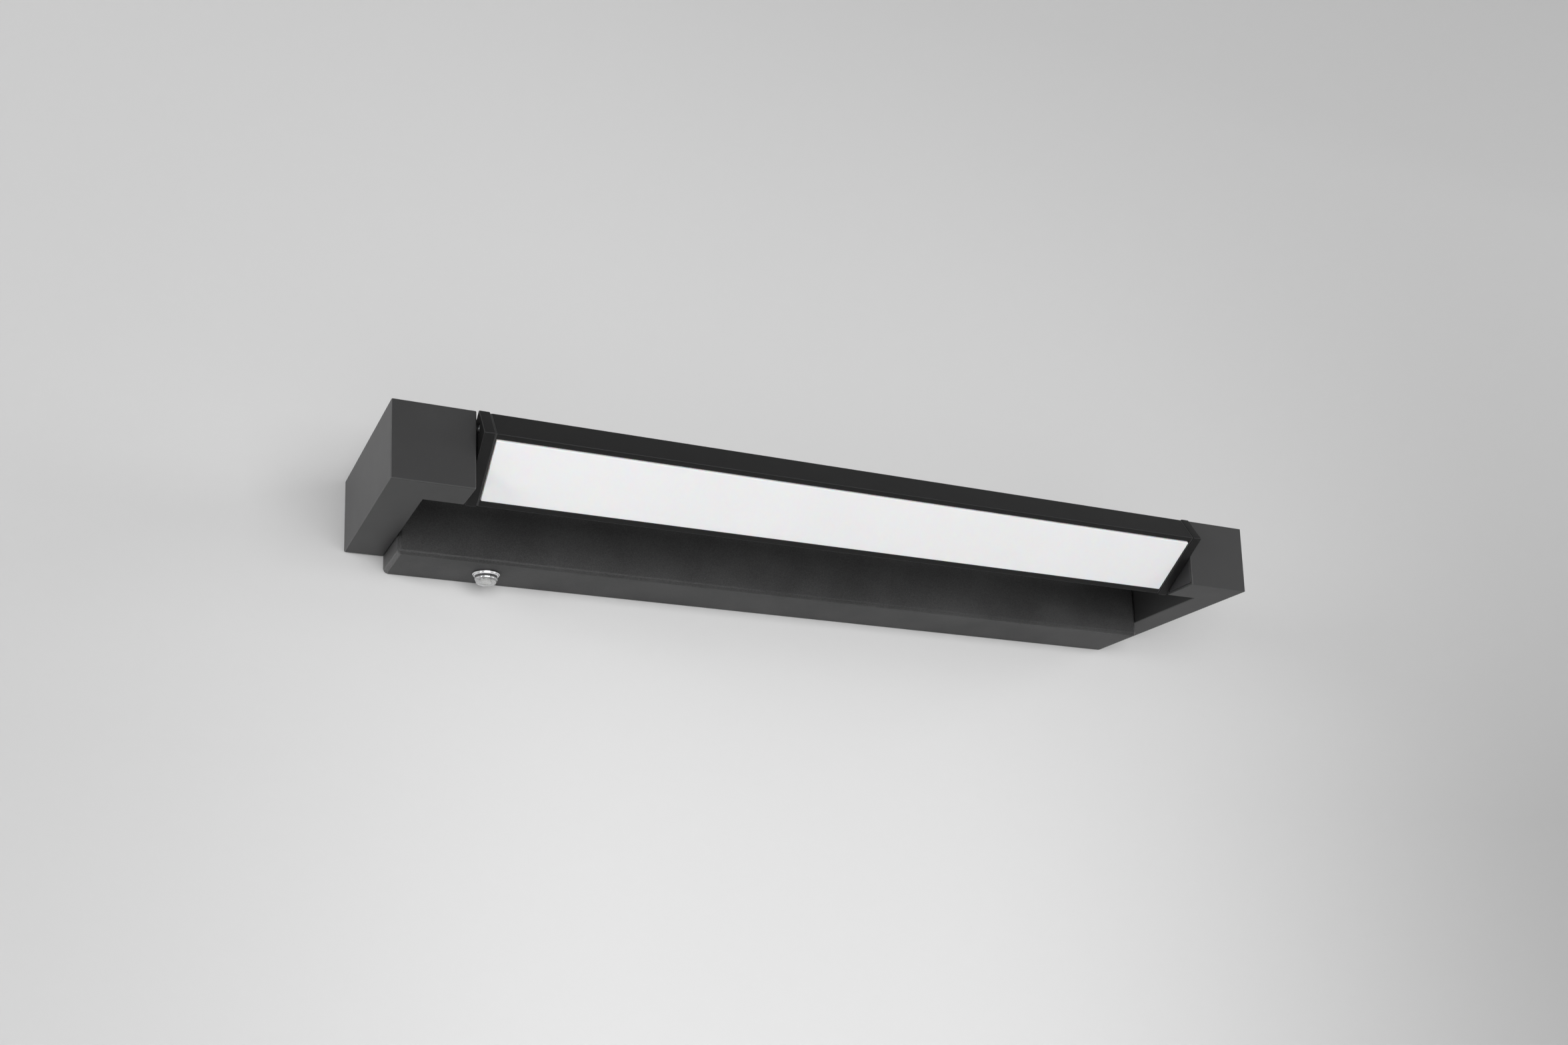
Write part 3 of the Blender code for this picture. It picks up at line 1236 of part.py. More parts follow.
    low = UNDERSIDE + collar_high + FIT + SPRING_WIRE
    high = UNDERSIDE + chamber_top - FIT - SPRING_WIRE
    points = []
    count = SPRING_TURNS * SPRING_POINTS
    for k in range(count + 1):
        turn = math.tau * k / SPRING_POINTS
        x = SWITCH_PLACE + SPRING_RADIUS * math.cos(turn)
        y = MID_DEPTH + SPRING_RADIUS * math.sin(turn)
        points.append((x, y, low + (high - low) * k / count))
    tube("switch_spring", points, SPRING_WIRE, STEEL, 1)


def bowl(radius, top, low):
    """The side of a round bowl whose edge fills its height."""
    side, corner, flat = Vector((radius, top)), Vector((radius, low)), Vector((radius - top + low, low))
    made = []
    for k in range(2 * CORNER_STEPS + 1):
        t = k / (2 * CORNER_STEPS)
        made.append(tuple(side * (1 - t) ** 2 + corner * 2 * t * (1 - t) + flat * t**2))
    return made


def empty(name, place, tilt=0.0):
    """An unseen point that carries the pieces of a moving body."""
    made = bpy.data.objects.new(name, None)
    PARTS.objects.link(made)
    made.location = place
    made.rotation_euler = (tilt, 0, 0)
    return made


def main():
    clear_scene()
    head = empty("head_axis", (0, PIVOT_Y, 0), -HEAD_TILT)
    button_axis = empty("button_axis", (SWITCH_PLACE, MID_DEPTH, UNDERSIDE))
    make_wall_plate()
    make_mains_grommet()
    make_canopy()
    make_driver()
    make_terminal_block()
    make_earth_point()
    make_wires()
    make_lead_grommet()
    for side, word in ((-1, "left"), (1, "right")):
        make_arm(side, word)
        make_arm_fixing(side, word)
        make_arm_foot(side, word)
        make_stub_plug(side, word)
        make_end_cap(side, word, head)
        make_pivot(side, word, head)
    make_stop_pin()
    make_profile(head)
    make_diffuser(head)
    make_board(head)
    make_lead()
    make_switch(button_axis)


main()
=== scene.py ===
import json
import math

import bmesh
import bpy
from mathutils import Matrix, Vector


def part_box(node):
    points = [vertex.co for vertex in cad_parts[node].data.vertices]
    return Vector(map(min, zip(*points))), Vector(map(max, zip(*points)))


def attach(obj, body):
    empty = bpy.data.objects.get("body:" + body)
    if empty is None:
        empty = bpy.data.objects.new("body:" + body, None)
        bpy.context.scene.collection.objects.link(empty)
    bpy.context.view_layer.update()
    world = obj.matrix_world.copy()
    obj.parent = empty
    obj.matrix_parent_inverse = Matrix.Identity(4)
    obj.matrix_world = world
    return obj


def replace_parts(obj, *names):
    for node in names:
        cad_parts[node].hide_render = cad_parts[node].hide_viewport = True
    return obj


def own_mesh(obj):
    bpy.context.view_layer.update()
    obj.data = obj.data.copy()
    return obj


MM = 0.001
MICRON = 1e-6


def mm(*sizes):
    """Sizes given in millimetres, in metres."""
    return [size * MM for size in sizes]


# Meshes
AXIS_RADIUS = 1e-9  # a profile point nearer to the axis lies on it
HALF_SHARE = 0.5
CORNER_STEPS = 3
BOX_CORNER_STEPS = 5
WELD_REACH = 0.002 * MM
NORMAL_WEIGHT = 100
NODE_SHARP = math.radians(50)
SCREW_SHARP = math.radians(32)
CARVED_SHARP = math.radians(30)
TURNED_SHARP = math.radians(50)
RUBBER_SHARP = math.radians(60)
STRIP_SHARP = math.radians(40)

# Diffuser
LIP = 2.1 * MM  # of its flange behind the channel's lips
FLANGE_DEPTH = 1.3 * MM
WINDOW_EDGE = 0.45 * MM
WINDOW_EDGE_STEPS = 6
WINDOW_CORNER = 0.5 * MM
WINDOW_LEFT_GAP = 0.3 * MM
WINDOW_RIGHT_GAP = 1.3 * MM
WINDOW_LOW_GAP = 0.5 * MM  # more room beside the lip nearest to the wall

# LEDs
LED_COUNT = 40
LED_END_ROOM = 16.0 * MM
LED_WINDOW_LENGTH = 3.8 * MM
LED_WINDOW_WIDTH = 2.2 * MM
LED_WINDOW_CORNER = 0.5 * MM
LED_DOME = 0.12 * MM
LED_DOME_SHARE = 0.8  # of the window, at the top of its dome

# Seals of the end caps
SEAL_REACH = 0.3 * MM  # of a seal past its plain solid, at each end
SEAL_RISE = 0.22 * MM
SEAL_SINK = 0.07 * MM  # of its rims below its middle
SEAL_FLAT_SHARE = 0.5
SEAL_CORNER = 0.5 * MM
SEAL_BAND_Y = 9.5 * MM
SEAL_BAND_Z = 4.0 * MM
SEAL_HOLE = 1.7 * MM
SEAL_HOLE_REACH = 3 * MM
SEAL_HOLE_CORNER_SHARE = 0.99

# Screws
CAP_SCREW_HEAD = 1.8 * MM
CAP_SCREW_SHANK = 1.5 * MM
PLUG_SCREW_HEAD = 1.3 * MM
PLUG_SCREW_SHANK = 1.5 * MM
CANOPY_SCREW_HEAD = 1.7 * MM
CANOPY_SCREW_SHANK = 2.0 * MM
PAN_SCREW_HEAD = 2.2 * MM
PAN_SCREW_SHANK = 2.0 * MM
SCREW_SIDES = 32
THREAD_PITCH = 0.9 * MM
THREAD_END_SHARE = 1.5  # of the pitch, left plain at both ends together
CREST_SHARE = 0.97
ROOT_SHARE = 0.78
TIP_SHARE = 0.5

# Screw heads, as shares of their radius and of their height
FLAT_SHARES = ((0, 0), (0.97, 0), (1, 0.06), (1, 0.12))
ROUND_SHARES = ((0, 0), (0.45, 0.02), (0.74, 0.14), (0.93, 0.4), (1, 0.72), (1, 0.9), (0.97, 1))
RECESS_REACH_SHARE = 0.58
RECESS_WIDTH_SHARE = 0.2
RECESS_DEPTH_SHARE = 0.62
RECESS_RISE_SHARE = 0.3
RECESS_TAPER_SHARE = 0.62

# Switch flange and ring, stepping inwards from the outer radius and down by shares of the height
CHROME_SIDES = 96
FLANGE_BORE = 5.75 * MM
FLANGE_ROUNDING = 0.12 * MM
FLANGE_INSETS = mm(0, 0, 0.35, 0.55, 0.6, 0.72, 1.05, 1.35, 1.45)
FLANGE_FALL_SHARES = (0, 0.26, 0.44, 0.46, 0.6, 0.82, 1, 1, 0.86)
RING_ROUNDING = 0.1 * MM
RING_INSETS = mm(0.4, 0, 0, 0.12, 0.12, 0.02, 0.1, 0.3, 0.9, 0.9, 0.4)
RING_FALL_SHARES = (0, 0, 0.62, 0.68, 0.74, 0.8, 0.96, 1, 1, 0.63, 0.63)

# Switch boot
BOOT_SIDES = 72
BOOT_WALL = 0.7 * MM
BOOT_NECK_INSET = 0.8 * MM
BOOT_GRIP_INSET = 0.3 * MM
BOOT_GRIP_HEIGHT = 0.6 * MM
BOOT_RING_GAP = 0.02 * MM
BOOT_NECK_ROUNDING = 0.1 * MM
BOWL_ROUNDING = 0.25 * MM
BOWL_RIM_SHARES = ((0.8, 0), (0.985, 0.015), (1.0, 0.13), (0.985, 0.32))
BOWL_SIDE_SHARES = ((0.93, 0.6), (0.81, 0.86), (0.65, 0.985))
BOWL_FLOOR_SHARES = ((0.48, 1.0), (0.36, 0.97), (0, 0.96))
BOWL_SIDE_WALL_SHARE = 0.7
BOWL_SHOULDER_WALL_SHARE = 1.2
BOWL_SHOULDER_SHARE = 0.3

# Switch button, from its guide down to its dished tip
BUTTON_SIDES = 64
BUTTON_ROUNDING = 0.2 * MM
BUTTON_GUIDE_RADIUS = 2.4 * MM
BUTTON_GUIDE_LENGTH = 11.4 * MM
BUTTON_COLLAR_END = 12.9 * MM
BUTTON_TIP_RADIUS = 3.3 * MM
BUTTON_TIP_INSETS = mm(0, 0.15, 0.15, 0, 0, 0.4, 1.0, 1.3)
BUTTON_TIP_RISES = mm(1.3, 1.15, 0.9, 0.75, 0.3, 0, 0, 0.25)
BUTTON_DISH_RISE = 0.3 * MM

# Switch spring
SPRING_WIRE = 0.35 * MM  # radius
SPRING_WIRE_SIDES = 8
SPRING_TURNS = 7
SPRING_TURN_STEPS = 20
SPRING_END_SHARE = 2.05  # pitch of the closed end turns, in radii of the wire

# Terminal block
POLE_COUNT = 3
POLE_PITCH = 10.0 * MM
CLAMP_SIDES = 28
CLAMP_SPREAD = 9.0 * MM
CLAMP_SINK = 1.2 * MM
CLAMP_RADIUS = 2.1 * MM
CLAMP_EDGE = 0.2 * MM
CLAMP_HEAD = 1.8 * MM
CLAMP_SHANK = 1.5 * MM
CLAMP_LENGTH = 3.4 * MM
SLIT_HALF_LENGTH = 2.6 * MM
SLIT_HALF_WIDTH = 0.28 * MM
SLIT_DEPTH = 0.8 * MM
SLIT_OVERRUN = 0.4 * MM

# Noise in the materials
SMOOTH_DETAIL = 1.0
PLAIN_DETAIL = 2.0
RICH_DETAIL = 3.0
PLAIN_OCTAVE_SHARE = 0.5
CRISP_OCTAVE_SHARE = 0.6
HARSH_OCTAVE_SHARE = 0.7
NOISE_SHARES = (0.3, 0.7)  # between which most of a noise lies
CELL_SHARES = (0.1, 0.8)
SAND_SHARES = (0.38, 0.62)
WHOLE_SHARES = (0, 1)
EDGE_SHARES = (0.78, 0.985)  # a face leans this much along one axis on an edge, and on a flat
SAND_EDGE_SHARES = (0.975, 0.997)

# Powder coat of the arms and the head
POWDER_CLOUD = 45 * MM
POWDER_RELIEF = 6 * MICRON
POWDER_MOTTLE_SHARE = 0.12
POWDER_GLOSS_STEPS = (-0.04, 0.06)
PEEL_GRAINS = 6  # width of the orange peel's waves, in grains
ARM_GREY = (0.038, 0.038, 0.0383)
ARM_ROUGH = 0.47
ARM_SPECULAR = 0.22
ARM_GRAIN = 0.35 * MM
ARM_EDGE_HIGHLIGHT_SHARE = 2.2  # brightness of its painted edge highlights, of that of the rest
HEAD_GREY = (0.008, 0.008, 0.0081)
HEAD_ROUGH = 0.45
HEAD_SPECULAR = 0.18
HEAD_GRAIN = 0.3 * MM
# brightness of the head's painted edge highlights, of that of the rest
HEAD_EDGE_HIGHLIGHT_SHARE = 5.0

# Textured coat of the canopy
CANOPY_GREY = (0.037, 0.037, 0.0372)
CANOPY_ROUGH = 0.56
CANOPY_SPECULAR = 0.3
CANOPY_CLOUD = 50 * MM
CANOPY_MOTTLE_SHARE = 0.4
CANOPY_GLOSS_STEPS = (-0.08, 0.1)
CANOPY_EDGE_GLOSS_SHARE = 0.66  # of the roughness, lost on the edges
SAND_GRAIN = 0.75 * MM
SAND_RELIEF = 220 * MICRON
DUST_GRAIN = 0.25 * MM
DUST_RELIEF = 30 * MICRON

# Metals
BRUSH_GRAIN = 0.5 * MM
BRUSH_RELIEF = 4 * MICRON
METAL_CLOUD = 12 * MM
METAL_TINT_SHARES = (0.93, 1.04)
METAL_GLOSS_SHARES = (0.75, 1.3)
METAL_ROUGH = 0.3
ZINC_COLOUR = (0.6, 0.61, 0.62)
ZINC_CRYSTAL = 6 * MM
ZINC_TINT_SHARES = (0.82, 1.1)
BRASS_COLOUR = (0.72, 0.55, 0.28)
CHROME_COLOURS = ((0.74, 0.74, 0.75), (0.83, 0.83, 0.84))
CHROME_GLOSS = (0.07, 0.17)
CHROME_WAVE = 3 * MM
CHROME_GRAIN = 0.2 * MM
CHROME_RELIEF = 4 * MICRON

# Diffuser plastic and clear rubber
OPAL_COLOURS = ((0.89, 0.89, 0.9), (0.91, 0.91, 0.92))
OPAL_GLOSS = (0.3, 0.4)
OPAL_CLOUD = 60 * MM
OPAL_GRAIN = 0.3 * MM
OPAL_RELIEF = 2 * MICRON
OPAL_SCATTER_SHARE = 0.3
OPAL_SCATTER_REACH = 3 * MM
# faint painted glow of the diffuser, lifting its brightness evenly
OPAL_PAINTED_GLOW = 0.05
SILICONE_COLOURS = ((0.87, 0.875, 0.875), (0.95, 0.955, 0.955))
SILICONE_GLOSS = (0.08, 0.18)
SILICONE_GRAIN = 0.6 * MM
SILICONE_RELIEF = 8 * MICRON
SILICONE_CLEAR_SHARE = 0.85
SILICONE_INDEX = 1.41
WHITE = (1, 1, 1, 1)

# Moulded plastics and rubbers
MOULD_CLOUD = 20 * MM
MOULD_GRAIN = 0.5 * MM
MOULD_RELIEF = 6 * MICRON
MOULD_MOTTLE_SHARE = 0.06
MOULD_GLOSS_STEPS = (-0.05, 0.07)
BLACK_COLOUR = (0.022, 0.022, 0.023)
BLACK_ROUGH = 0.48
IVORY_COLOUR = (0.74, 0.74, 0.72)
IVORY_ROUGH = 0.45
RUBBER_COLOUR = (0.022, 0.022, 0.0222)
RUBBER_ROUGH = 0.6
RUBBER_GRAIN = 0.4 * MM
RUBBER_RELIEF = 12 * MICRON
RESIST_ROUGH = 0.4
RESIST_GRAIN = 0.25 * MM
RESIST_RELIEF = 3 * MICRON
PAD_COLOUR = (0.34, 0.34, 0.35)
PAD_ROUGH = 0.8
PAD_GRAIN = 0.8 * MM
PAD_RELIEF = 20 * MICRON
PAD_MOTTLE_SHARE = 0.12
JACKET_COLOURS = {"brown": (0.13, 0.05, 0.022), "blue": (0.025, 0.08, 0.34), "green": (0.1, 0.33, 0.06)}
JACKET_ROUGH = 0.42
JACKET_GRAIN = 1.2 * MM
JACKET_RELIEF = 8 * MICRON
RESIN_COLOUR = (0.82, 0.68, 0.2)
RESIN_ROUGH = 0.3
RESIN_GRAIN = 0.2 * MM
RESIN_RELIEF = 3 * MICRON

# Room
WALL_GAP = 0.6 * MM
FLOOR_DROP = 1.25
ROOM_HALF = 4.0
ROOM_DEPTH = 5.0
ROOM_TOP = 3.0
ROOM_GLOSS = (0.85, 0.92)
ROOM_SPECULAR = 0.2
ROOM_CLOUD = 0.9
ROOM_GRAIN = 3 * MM
ROOM_RELIEF = 15 * MICRON

# Painted shade of the room: from its lower to its upper grey, and darker to the left and right
WALL_GREYS = (0.87, 0.65)
WALL_SIDE_SHADE_SHARES = (0.79, 0.61)
FLOOR_GREYS = (0.55, 0.55)
FLOOR_SIDE_SHADE_SHARES = (0.9, 0.9)
FLOOR_GLOW = 0.42  # where the camera sees it, or a mirror or a clear piece shows it
GREY_HEIGHTS = (-0.35, 0.5)
SIDE_PLACES = (-0.55, 0.85)
SIDE_FLAT_SHARES = (0.32, 0.46)
SIDE_FADE_HEIGHTS = (-0.15, 0.45)
SIDE_FADE_SHARES = (1.0, 0.1)

# Light from all round, weaker from above
SKY_HEIGHTS = (-0.1, 0.9)
SKY_STRENGTHS = (0.24, 0.08)
BACKDROP_GREY = (0.4, 0.4, 0.404)

# Lamps: the place, the width and height, and the power in watts
AIM = (0, -0.05, 0)
LAMPS = {
    "front_box": ((-0.3, -2.4, -0.2), (2.2, 1.0), 33),
    "right_box": ((2.1, -1.3, 0.3), (1.2, 1.2), 12.5),
    "left_box": ((-2.1, -1.1, 0.1), (0.5, 0.8), 11.5),
    "left_rear": ((-1.9, 0.34, 0.1), (0.5, 0.9), 19.5),
    "right_rear": ((1.9, 0.34, 0.1), (0.5, 0.9), 13),
    "back_fill": ((0.3, 2.4, 0.15), (2.0, 1.2), 24),
}

# Camera
CAMERA_PLACE = (-0.46843, -0.95453, -0.34076)
CAMERA_YAW = math.radians(26.0525)
CAMERA_PITCH = math.radians(9.8058)
CAMERA_ROLL = math.radians(-1.6662)
CAMERA_LENS = 36.0733
SENSOR_WIDTH = 36.0
IMAGE_WIDTH = 2352
CAMERA_RISE = 399.84  # pixels that the frame is shifted up
CLIP_START = 0.01
CLIP_END = 50.0

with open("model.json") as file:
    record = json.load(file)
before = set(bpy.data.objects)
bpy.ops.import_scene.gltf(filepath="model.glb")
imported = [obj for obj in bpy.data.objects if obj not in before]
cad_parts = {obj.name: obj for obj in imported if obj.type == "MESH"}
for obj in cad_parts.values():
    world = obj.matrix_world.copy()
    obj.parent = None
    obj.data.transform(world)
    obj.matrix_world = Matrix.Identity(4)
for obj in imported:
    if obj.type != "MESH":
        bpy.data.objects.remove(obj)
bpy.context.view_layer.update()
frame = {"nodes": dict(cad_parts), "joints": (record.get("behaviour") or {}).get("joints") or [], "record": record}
NODES = frame["nodes"]
RECORD = frame["record"]
JOINTS = {joint["name"]: joint for joint in frame["joints"]}


def head_frame():
    """The head's own axes at rest, from the largest face of its LED board."""
    largest = max(NODES["led_board"].data.polygons, key=lambda face: face.area)
    up = largest.normal if largest.normal.z > 0 else -largest.normal
    turn = Vector((0, 0, 1)).rotation_difference(up).to_matrix().to_4x4()
    return Matrix.Translation(Vector(JOINTS["head_tilt"]["pos_m"])) @ turn


# Materials


class Tree:
    """A node tree, with the sums that the materials and the world are made of."""

    def __init__(self, tree):
        self.tree = tree
        self.tree.nodes.clear()

    def node(self, kind, **values):
        made = self.tree.nodes.new("ShaderNode" + kind)
        for key, value in values.items():
            setattr(made, key, value)
        return made

    def link(self, start, end):
        self.tree.links.new(start, end)

    def larger(self, first, second):
        made = self.node("Math", operation="MAXIMUM")
        self.link(first, made.inputs[0])
        self.link(second, made.inputs[1])
        return made.outputs[0]

    def spread(self, source, low, high, between=NOISE_SHARES):
        """Values from low to high, as the source goes from one end of a range to the other."""
        made = self.node("MapRange")
        made.inputs["From Min"].default_value, made.inputs["From Max"].default_value = between
        made.inputs["To Min"].default_value = low
        made.inputs["To Max"].default_value = high
        self.link(source, made.inputs["Value"])
        return made.outputs[0]

    def pick(self, share, first, second, out):
        """Show the second shader instead of the first, by a share."""
        made = self.node("MixShader")
        for start, end in zip((share, first.outputs[0], second.outputs[0]), made.inputs):
            self.link(start, end)
        self.link(made.outputs[0], out.inputs[0])

    def seen(self, path):
        """1 for rays from the camera, a glossy piece or a clear one."""
        found = path.outputs["Is Camera Ray"]
        for word in ("Glossy", "Transmission"):
            found = self.larger(found, path.outputs[f"Is {word} Ray"])
        return found


class Look(Tree):
    """One material, built from its shader outwards."""

    def __init__(self, name):
        self.material = bpy.data.materials.new(name)
        self.material.use_nodes = True
        super().__init__(self.material.node_tree)
        self.out = self.node("OutputMaterial")
        self.shader = self.node("BsdfPrincipled")
        self.link(self.shader.outputs[0], self.out.inputs[0])
        self.place = self.node("TexCoord").outputs["Object"]

    def set(self, **values):
        for key, value in values.items():
            self.shader.inputs[key.replace("_", " ")].default_value = value
        return self

    def noise(self, size, detail=PLAIN_DETAIL, octave_share=PLAIN_OCTAVE_SHARE):
        """Noise whose grains are about size metres across."""
        made = self.node("TexNoise")
        made.inputs["Scale"].default_value = 1 / size
        made.inputs["Detail"].default_value = detail
        made.inputs["Roughness"].default_value = octave_share
        self.link(self.place, made.inputs["Vector"])
        return made.outputs[0]

    def cells(self, size):
        """Distance from the middle of cells that are about size metres across."""
        made = self.node("TexVoronoi")
        made.inputs["Scale"].default_value = 1 / size
        self.link(self.place, made.inputs["Vector"])
        return made.outputs["Distance"]

    def mean(self, first, second):
        added = self.node("Math", operation="ADD")
        self.link(first, added.inputs[0])
        self.link(second, added.inputs[1])
        halved = self.node("Math", operation="MULTIPLY")
        self.link(added.outputs[0], halved.inputs[0])
        halved.inputs[1].default_value = HALF_SHARE
        return halved.outputs[0]

    def blend(self, source, colours, between=NOISE_SHARES):
        """A colour between two, by where the source lies in a range."""
        ramp = self.node("ValToRGB")
        for element, position, colour in zip(ramp.color_ramp.elements, between, colours):
            element.position = position
            element.color = (*colour, 1)
        self.link(source, ramp.inputs[0])
        return ramp.outputs[0]

    def colour(self, source, colours, between=NOISE_SHARES):
        self.link(self.blend(source, colours, between), self.shader.inputs["Base Color"])

    def gloss(self, source, low, high):
        self.link(self.spread(source, low, high), self.shader.inputs["Roughness"])

    def over(self, share, below, colour):
        """One colour laid over another."""
        made = self.node("Mix", data_type="RGBA")
        self.link(share, made.inputs["Factor"])
        self.link(below, made.inputs["A"])
        made.inputs["B"].default_value = (*colour, 1)
        return made.outputs["Result"]

    def edge(self, turn=0.0, between=EDGE_SHARES):
        """How far a face leans between the piece's own axes, as a broken edge does."""
        mapping = self.node("Mapping", vector_type="VECTOR")
        mapping.inputs["Rotation"].default_value = (turn, 0, 0)
        self.link(self.node("TexCoord").outputs["Normal"], mapping.inputs["Vector"])
        plain = self.node("VectorMath", operation="ABSOLUTE")
        self.link(mapping.outputs[0], plain.inputs[0])
        axes = self.node("SeparateXYZ")
        self.link(plain.outputs[0], axes.inputs[0])
        most = self.larger(axes.outputs["X"], axes.outputs["Y"])
        return self.spread(self.larger(most, axes.outputs["Z"]), 1, 0, between)

    def bump(self, *layers):
        """Layers of (source, height in metres), from the coarsest to the finest."""
        below = None
        for source, height in layers:
            made = self.node("Bump")
            made.inputs["Strength"].default_value = 1.0
            made.inputs["Distance"].default_value = height
            self.link(source, made.inputs["Height"])
            if below is not None:
                self.link(below, made.inputs["Normal"])
            below = made.outputs[0]
        self.link(below, self.shader.inputs["Normal"])
        return self


def tint(colour, factor):
    return tuple(min(1.0, part * factor) for part in colour)


def tints(colour, factors):
    return [tint(colour, factor) for factor in factors]


def mottled(colour, share):
    """A darker and a lighter shade of a colour."""
    return tints(colour, (1 - share, 1 + share))


def around(value, steps):
    return [value + step for step in steps]


def powder_coat(name, colour, rough, specular, grain, highlight_share, turn=0.0):
    """Paint baked from powder: a fine orange-peel grain, and a painted highlight that lightens its edges."""
    look = Look(name).set(Specular_IOR_Level=specular)
    fine = look.noise(grain, PLAIN_DETAIL, CRISP_OCTAVE_SHARE)
    mixed = look.mean(look.noise(POWDER_CLOUD, RICH_DETAIL), fine)
    plain = look.blend(mixed, mottled(colour, POWDER_MOTTLE_SHARE))
    # painted highlight: edges lighter by a share of the colour, where a face leans between two axes
    edge_highlighted = look.over(look.edge(turn), plain, tint(colour, highlight_share))
    look.link(edge_highlighted, look.shader.inputs["Base Color"])
    look.gloss(mixed, *around(rough, POWDER_GLOSS_STEPS))
    peel = look.noise(grain * PEEL_GRAINS, SMOOTH_DETAIL)
    return look.bump((peel, POWDER_RELIEF), (fine, POWDER_RELIEF))


def textured_coat(name, colour, rough, specular):
    """Paint with a fine sandy grain that sparkles where light grazes it, smoother on edges."""
    look = Look(name).set(Specular_IOR_Level=specular)
    sand = look.noise(SAND_GRAIN, RICH_DETAIL, HARSH_OCTAVE_SHARE)
    dust = look.noise(DUST_GRAIN, PLAIN_DETAIL, CRISP_OCTAVE_SHARE)
    mixed = look.mean(sand, look.noise(CANOPY_CLOUD, RICH_DETAIL))
    look.colour(mixed, mottled(colour, CANOPY_MOTTLE_SHARE), SAND_SHARES)
    smoother = look.node("Math", operation="SUBTRACT")
    look.link(look.spread(dust, *around(rough, CANOPY_GLOSS_STEPS)), smoother.inputs[0])
    edges = look.edge(between=SAND_EDGE_SHARES)
    look.link(look.spread(edges, 0, rough * CANOPY_EDGE_GLOSS_SHARE, WHOLE_SHARES), smoother.inputs[1])
    look.link(smoother.outputs[0], look.shader.inputs["Roughness"])
    return look.bump((sand, SAND_RELIEF), (dust, DUST_RELIEF))


def metal(name, colour, crystal=None):
    """Metal with fine scratches, and with crystals where it is zinc plated."""
    look = Look(name).set(Metallic=1.0)
    lines = look.noise(BRUSH_GRAIN, RICH_DETAIL, CRISP_OCTAVE_SHARE)
    if crystal:
        look.colour(look.cells(crystal), tints(colour, ZINC_TINT_SHARES), CELL_SHARES)
    else:
        look.colour(look.noise(METAL_CLOUD, RICH_DETAIL), tints(colour, METAL_TINT_SHARES))
    look.gloss(lines, *[METAL_ROUGH * share for share in METAL_GLOSS_SHARES])
    return look.bump((lines, BRUSH_RELIEF))


def chrome():
    look = Look("chrome_polished").set(Metallic=1.0)
    broad = look.noise(CHROME_WAVE)
    look.colour(broad, CHROME_COLOURS)
    look.gloss(look.noise(CHROME_GRAIN), *CHROME_GLOSS)
    return look.bump((broad, CHROME_RELIEF))


def plastic(name, colour, rough, grain=MOULD_GRAIN, relief=MOULD_RELIEF, mottle_share=MOULD_MOTTLE_SHARE):
    look = Look(name)
    fine = look.noise(grain)
    look.colour(look.noise(MOULD_CLOUD, RICH_DETAIL), mottled(colour, mottle_share))
    look.gloss(fine, *around(rough, MOULD_GLOSS_STEPS))
    return look.bump((fine, relief))


def opal():
    """Milky diffuser plastic: smooth, with light spreading inside it, and a faint painted glow that lifts its
    brightness evenly.
    """
    look = Look("opal_satin")
    fine = look.noise(OPAL_GRAIN, SMOOTH_DETAIL)
    look.colour(look.noise(OPAL_CLOUD), OPAL_COLOURS)
    look.gloss(fine, *OPAL_GLOSS)
    look.bump((fine, OPAL_RELIEF))
    look.set(Subsurface_Weight=OPAL_SCATTER_SHARE, Subsurface_Scale=OPAL_SCATTER_REACH)
    # painted glow: a faint even lift of its brightness
    return look.set(Emission_Color=WHITE, Emission_Strength=OPAL_PAINTED_GLOW)


def silicone():
    """Clear silicone rubber, a little milky."""
    look = Look("clear_silicone")
    fine = look.noise(SILICONE_GRAIN)
    look.colour(fine, SILICONE_COLOURS)
    look.gloss(fine, *SILICONE_GLOSS)
    look.bump((fine, SILICONE_RELIEF))
    return look.set(Transmission_Weight=SILICONE_CLEAR_SHARE, IOR=SILICONE_INDEX)


HEAD = head_frame()
LEAN = -HEAD.to_euler().x
LOOKS = {
    "arm_paint": powder_coat("arm_powder_coat", ARM_GREY, ARM_ROUGH, ARM_SPECULAR, ARM_GRAIN, ARM_EDGE_HIGHLIGHT_SHARE),
    "canopy_paint": textured_coat("canopy_textured_coat", CANOPY_GREY, CANOPY_ROUGH, CANOPY_SPECULAR),
    "head_paint": powder_coat(
        "head_powder_coat", HEAD_GREY, HEAD_ROUGH, HEAD_SPECULAR, HEAD_GRAIN, HEAD_EDGE_HIGHLIGHT_SHARE, LEAN
    ),
    "opal": opal(),
    "chrome": chrome(),
    "steel": metal("zinc_plated_steel", ZINC_COLOUR, ZINC_CRYSTAL),
    "black_plastic": plastic("black_moulded_plastic", BLACK_COLOUR, BLACK_ROUGH),
    "white_plastic": plastic("white_moulded_plastic", IVORY_COLOUR, IVORY_ROUGH),
    "rubber": plastic("black_rubber", RUBBER_COLOUR, RUBBER_ROUGH, RUBBER_GRAIN, RUBBER_RELIEF),
    "clear_rubber": silicone(),
    "board_white": plastic("white_solder_resist", IVORY_COLOUR, RESIST_ROUGH, RESIST_GRAIN, RESIST_RELIEF),
    "tape_grey": plastic("grey_thermal_pad", PAD_COLOUR, PAD_ROUGH, PAD_GRAIN, PAD_RELIEF, PAD_MOTTLE_SHARE),
}
for word, jacket in JACKET_COLOURS.items():
    LOOKS["wire_" + word] = plastic(word + "_wire_jacket", jacket, JACKET_ROUGH, JACKET_GRAIN, JACKET_RELIEF)
BRASS = metal("brass_clamp", BRASS_COLOUR)
PHOSPHOR = plastic("phosphor_resin", RESIN_COLOUR, RESIN_ROUGH, RESIN_GRAIN, RESIN_RELIEF)


# Plain solids


